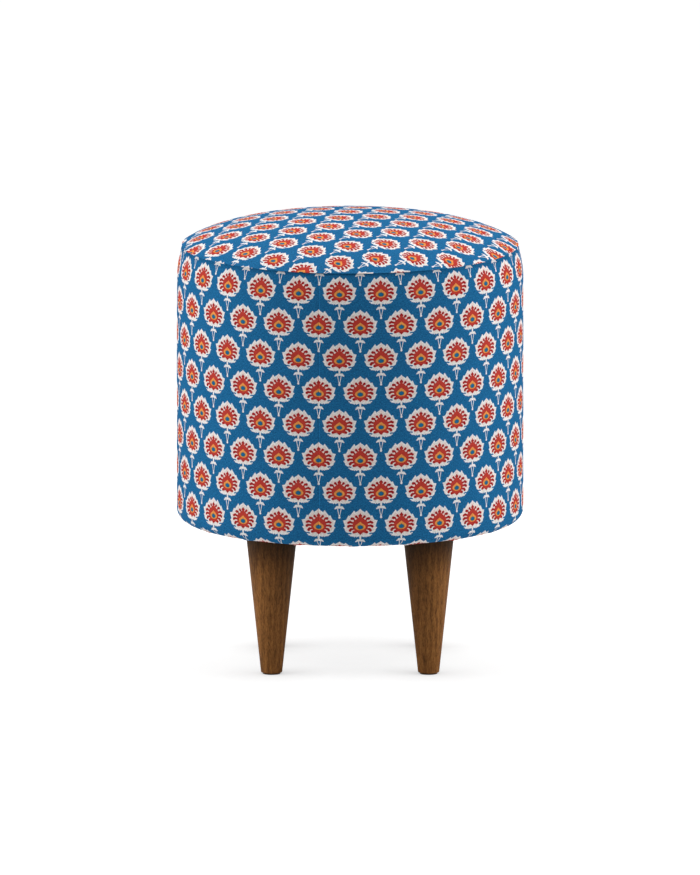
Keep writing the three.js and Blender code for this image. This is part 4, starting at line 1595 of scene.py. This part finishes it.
# %% Lay the floor
FLOOR_HALF = 8.0
FLOOR_WHITE = (0.9, 0.9, 0.9, 1)
FLOOR_GLOW = 0.82
FLOOR_SHADED = (0.32, 0.32, 0.32, 1)
CONTACT_REACH = 0.05
CONTACT_DARKER = 0.5
NEAR_STOOL = 0.40
FAR_FROM_STOOL = 0.75

material, bench, surface = new_material("floor_white")
path = bench.node("ShaderNodeLightPath")
face = bench.node("ShaderNodeNewGeometry")
lit = bench.out("ShaderNodeBsdfDiffuse", {"Color": FLOOR_WHITE})
from_stool = bench.vector("LENGTH", bench.out("ShaderNodeTexCoord", output=3))
far = bench.step(from_stool, NEAR_STOOL, FAR_FROM_STOOL)
contact = bench.out("ShaderNodeAmbientOcclusion", {"Distance": CONTACT_REACH}, 1, samples=8)
strength = (FLOOR_GLOW + (1.0 - FLOOR_GLOW) * far) * (1.0 - CONTACT_DARKER + CONTACT_DARKER * contact)
glow = bench.out("ShaderNodeEmission", {"Color": (1, 1, 1, 1), "Strength": strength})
shaded = bench.out("ShaderNodeBsdfDiffuse", {"Color": FLOOR_SHADED})
seen = bench.out("ShaderNodeAddShader", {0: glow, 1: shaded})
rays = {0: Wire(bench, path.outputs["Is Camera Ray"]), 1: lit, 2: seen}
floor_shader = bench.out("ShaderNodeMixShader", rays)
open_below = bench.out("ShaderNodeBsdfTransparent")
sides = {0: Wire(bench, face.outputs["Backfacing"]), 1: floor_shader, 2: open_below}
both = bench.out("ShaderNodeMixShader", sides)
bench.plug(material.node_tree.nodes["Material Output"].inputs["Surface"], both)
material.node_tree.nodes.remove(surface)

corners = [(x * FLOOR_HALF, y * FLOOR_HALF, 0) for x, y in ((-1, -1), (1, -1), (1, 1), (-1, 1))]
floor = new_piece("floor", corners, [(0, 1, 2, 3)], material)
print(f"the floor reaches {FLOOR_HALF} m each way")

# %% Hang the lights
AMBIENT = 0.03
LIGHTS_AIM = Vector((0, 0, 0.2))
scene.view_settings.view_transform = "Standard"
world = bpy.data.worlds.new("studio")
scene.world = world
world.use_nodes = True
bench = Bench(world.node_tree)
path = bench.node("ShaderNodeLightPath")
room = bench.out("ShaderNodeBackground", {"Color": (1, 1, 1, 1), "Strength": AMBIENT})
sweep = bench.out("ShaderNodeBackground", {"Color": (1, 1, 1, 1), "Strength": 1.0})
sky = bench.out("ShaderNodeMixShader", {0: Wire(bench, path.outputs["Is Camera Ray"]), 1: room, 2: sweep})
bench.plug(world.node_tree.nodes["World Output"].inputs["Surface"], sky)


def hang_light(name, around, above, distance, width, height, power):
    """A soft panel that the camera doesn't see, at these angles round from the front and above level."""
    around, above = math.radians(around), math.radians(above)
    way = Vector((math.sin(around) * math.cos(above), -math.cos(around) * math.cos(above), math.sin(above)))
    light = bpy.data.lights.new(name, "AREA")
    light.shape = "RECTANGLE"
    light.size, light.size_y = width, height
    light.energy = power
    panel = set_down(name, light)
    panel.location = LIGHTS_AIM + distance * way
    panel.rotation_euler = way.to_track_quat("Z", "Y").to_euler()
    panel.visible_camera = False


hang_light("back light", 180, 60, 1.8, 1.4, 1.4, 17.1)
for side in (-1, 1):
    hang_light("high side light", side * 65, 45, 1.6, 1.0, 1.0, 10.7)
    hang_light("low side light", side * 90, 13, 1.6, 1.0, 0.62, 7.0)
print(f"{len(bpy.data.lights)} lights")

# %% [markdown]
# Stand the new pieces in for the solids
#
# Each new piece hides the imported solid that it stands for, and every new piece, the rows of stitches
# and staples too, rides on the root body. The cut sizes of the cloth are printed, and they come from the
# pieces themselves: the seat's disc measured along its curve, the band's height along its outline, and
# the lining's disc with its folded edge.

# %% Hide the solids and attach every piece
covers = {
    seat_panel: ("top_cover", "printed_cloth"),
    side_band: ("side_cover", "printed_cloth"),
    dust_lining: ("dust_cover", "lining_cloth"),
    seat_foam_block: ("seat_foam", "foam"),
    seat_wadding_sheet: ("seat_wadding", "wadding"),
    side_foam_strip: ("side_foam", "foam"),
    side_wadding_strip: ("side_wadding", "wadding"),
}
stands_for = covers | {leg: (f"leg_{corner}", "leg_wood") for corner, leg in turned_legs.items()}
for piece, (node, slot) in stands_for.items():
    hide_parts(node)
    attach(piece, "root")
for row_piece in (seam_stitches, lining_staples):
    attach(row_piece, "root")


def disc_cut(radius):
    """The flat size and the area of a disc of cloth."""
    return (2 * radius, 2 * radius), math.pi * radius**2


panel_flat, panel_area = disc_cut(panel_flat_radius)
band_flat = (band_length, band_cut_height)
lining_flat, lining_area = disc_cut(LINING_RADIUS + FOLD_IN)
for name, flat in (("seat panel", panel_flat), ("band", band_flat), ("lining", lining_flat)):
    print(f"the {name} is cut {flat[0] / MM:.0f} x {flat[1] / MM:.0f} mm")
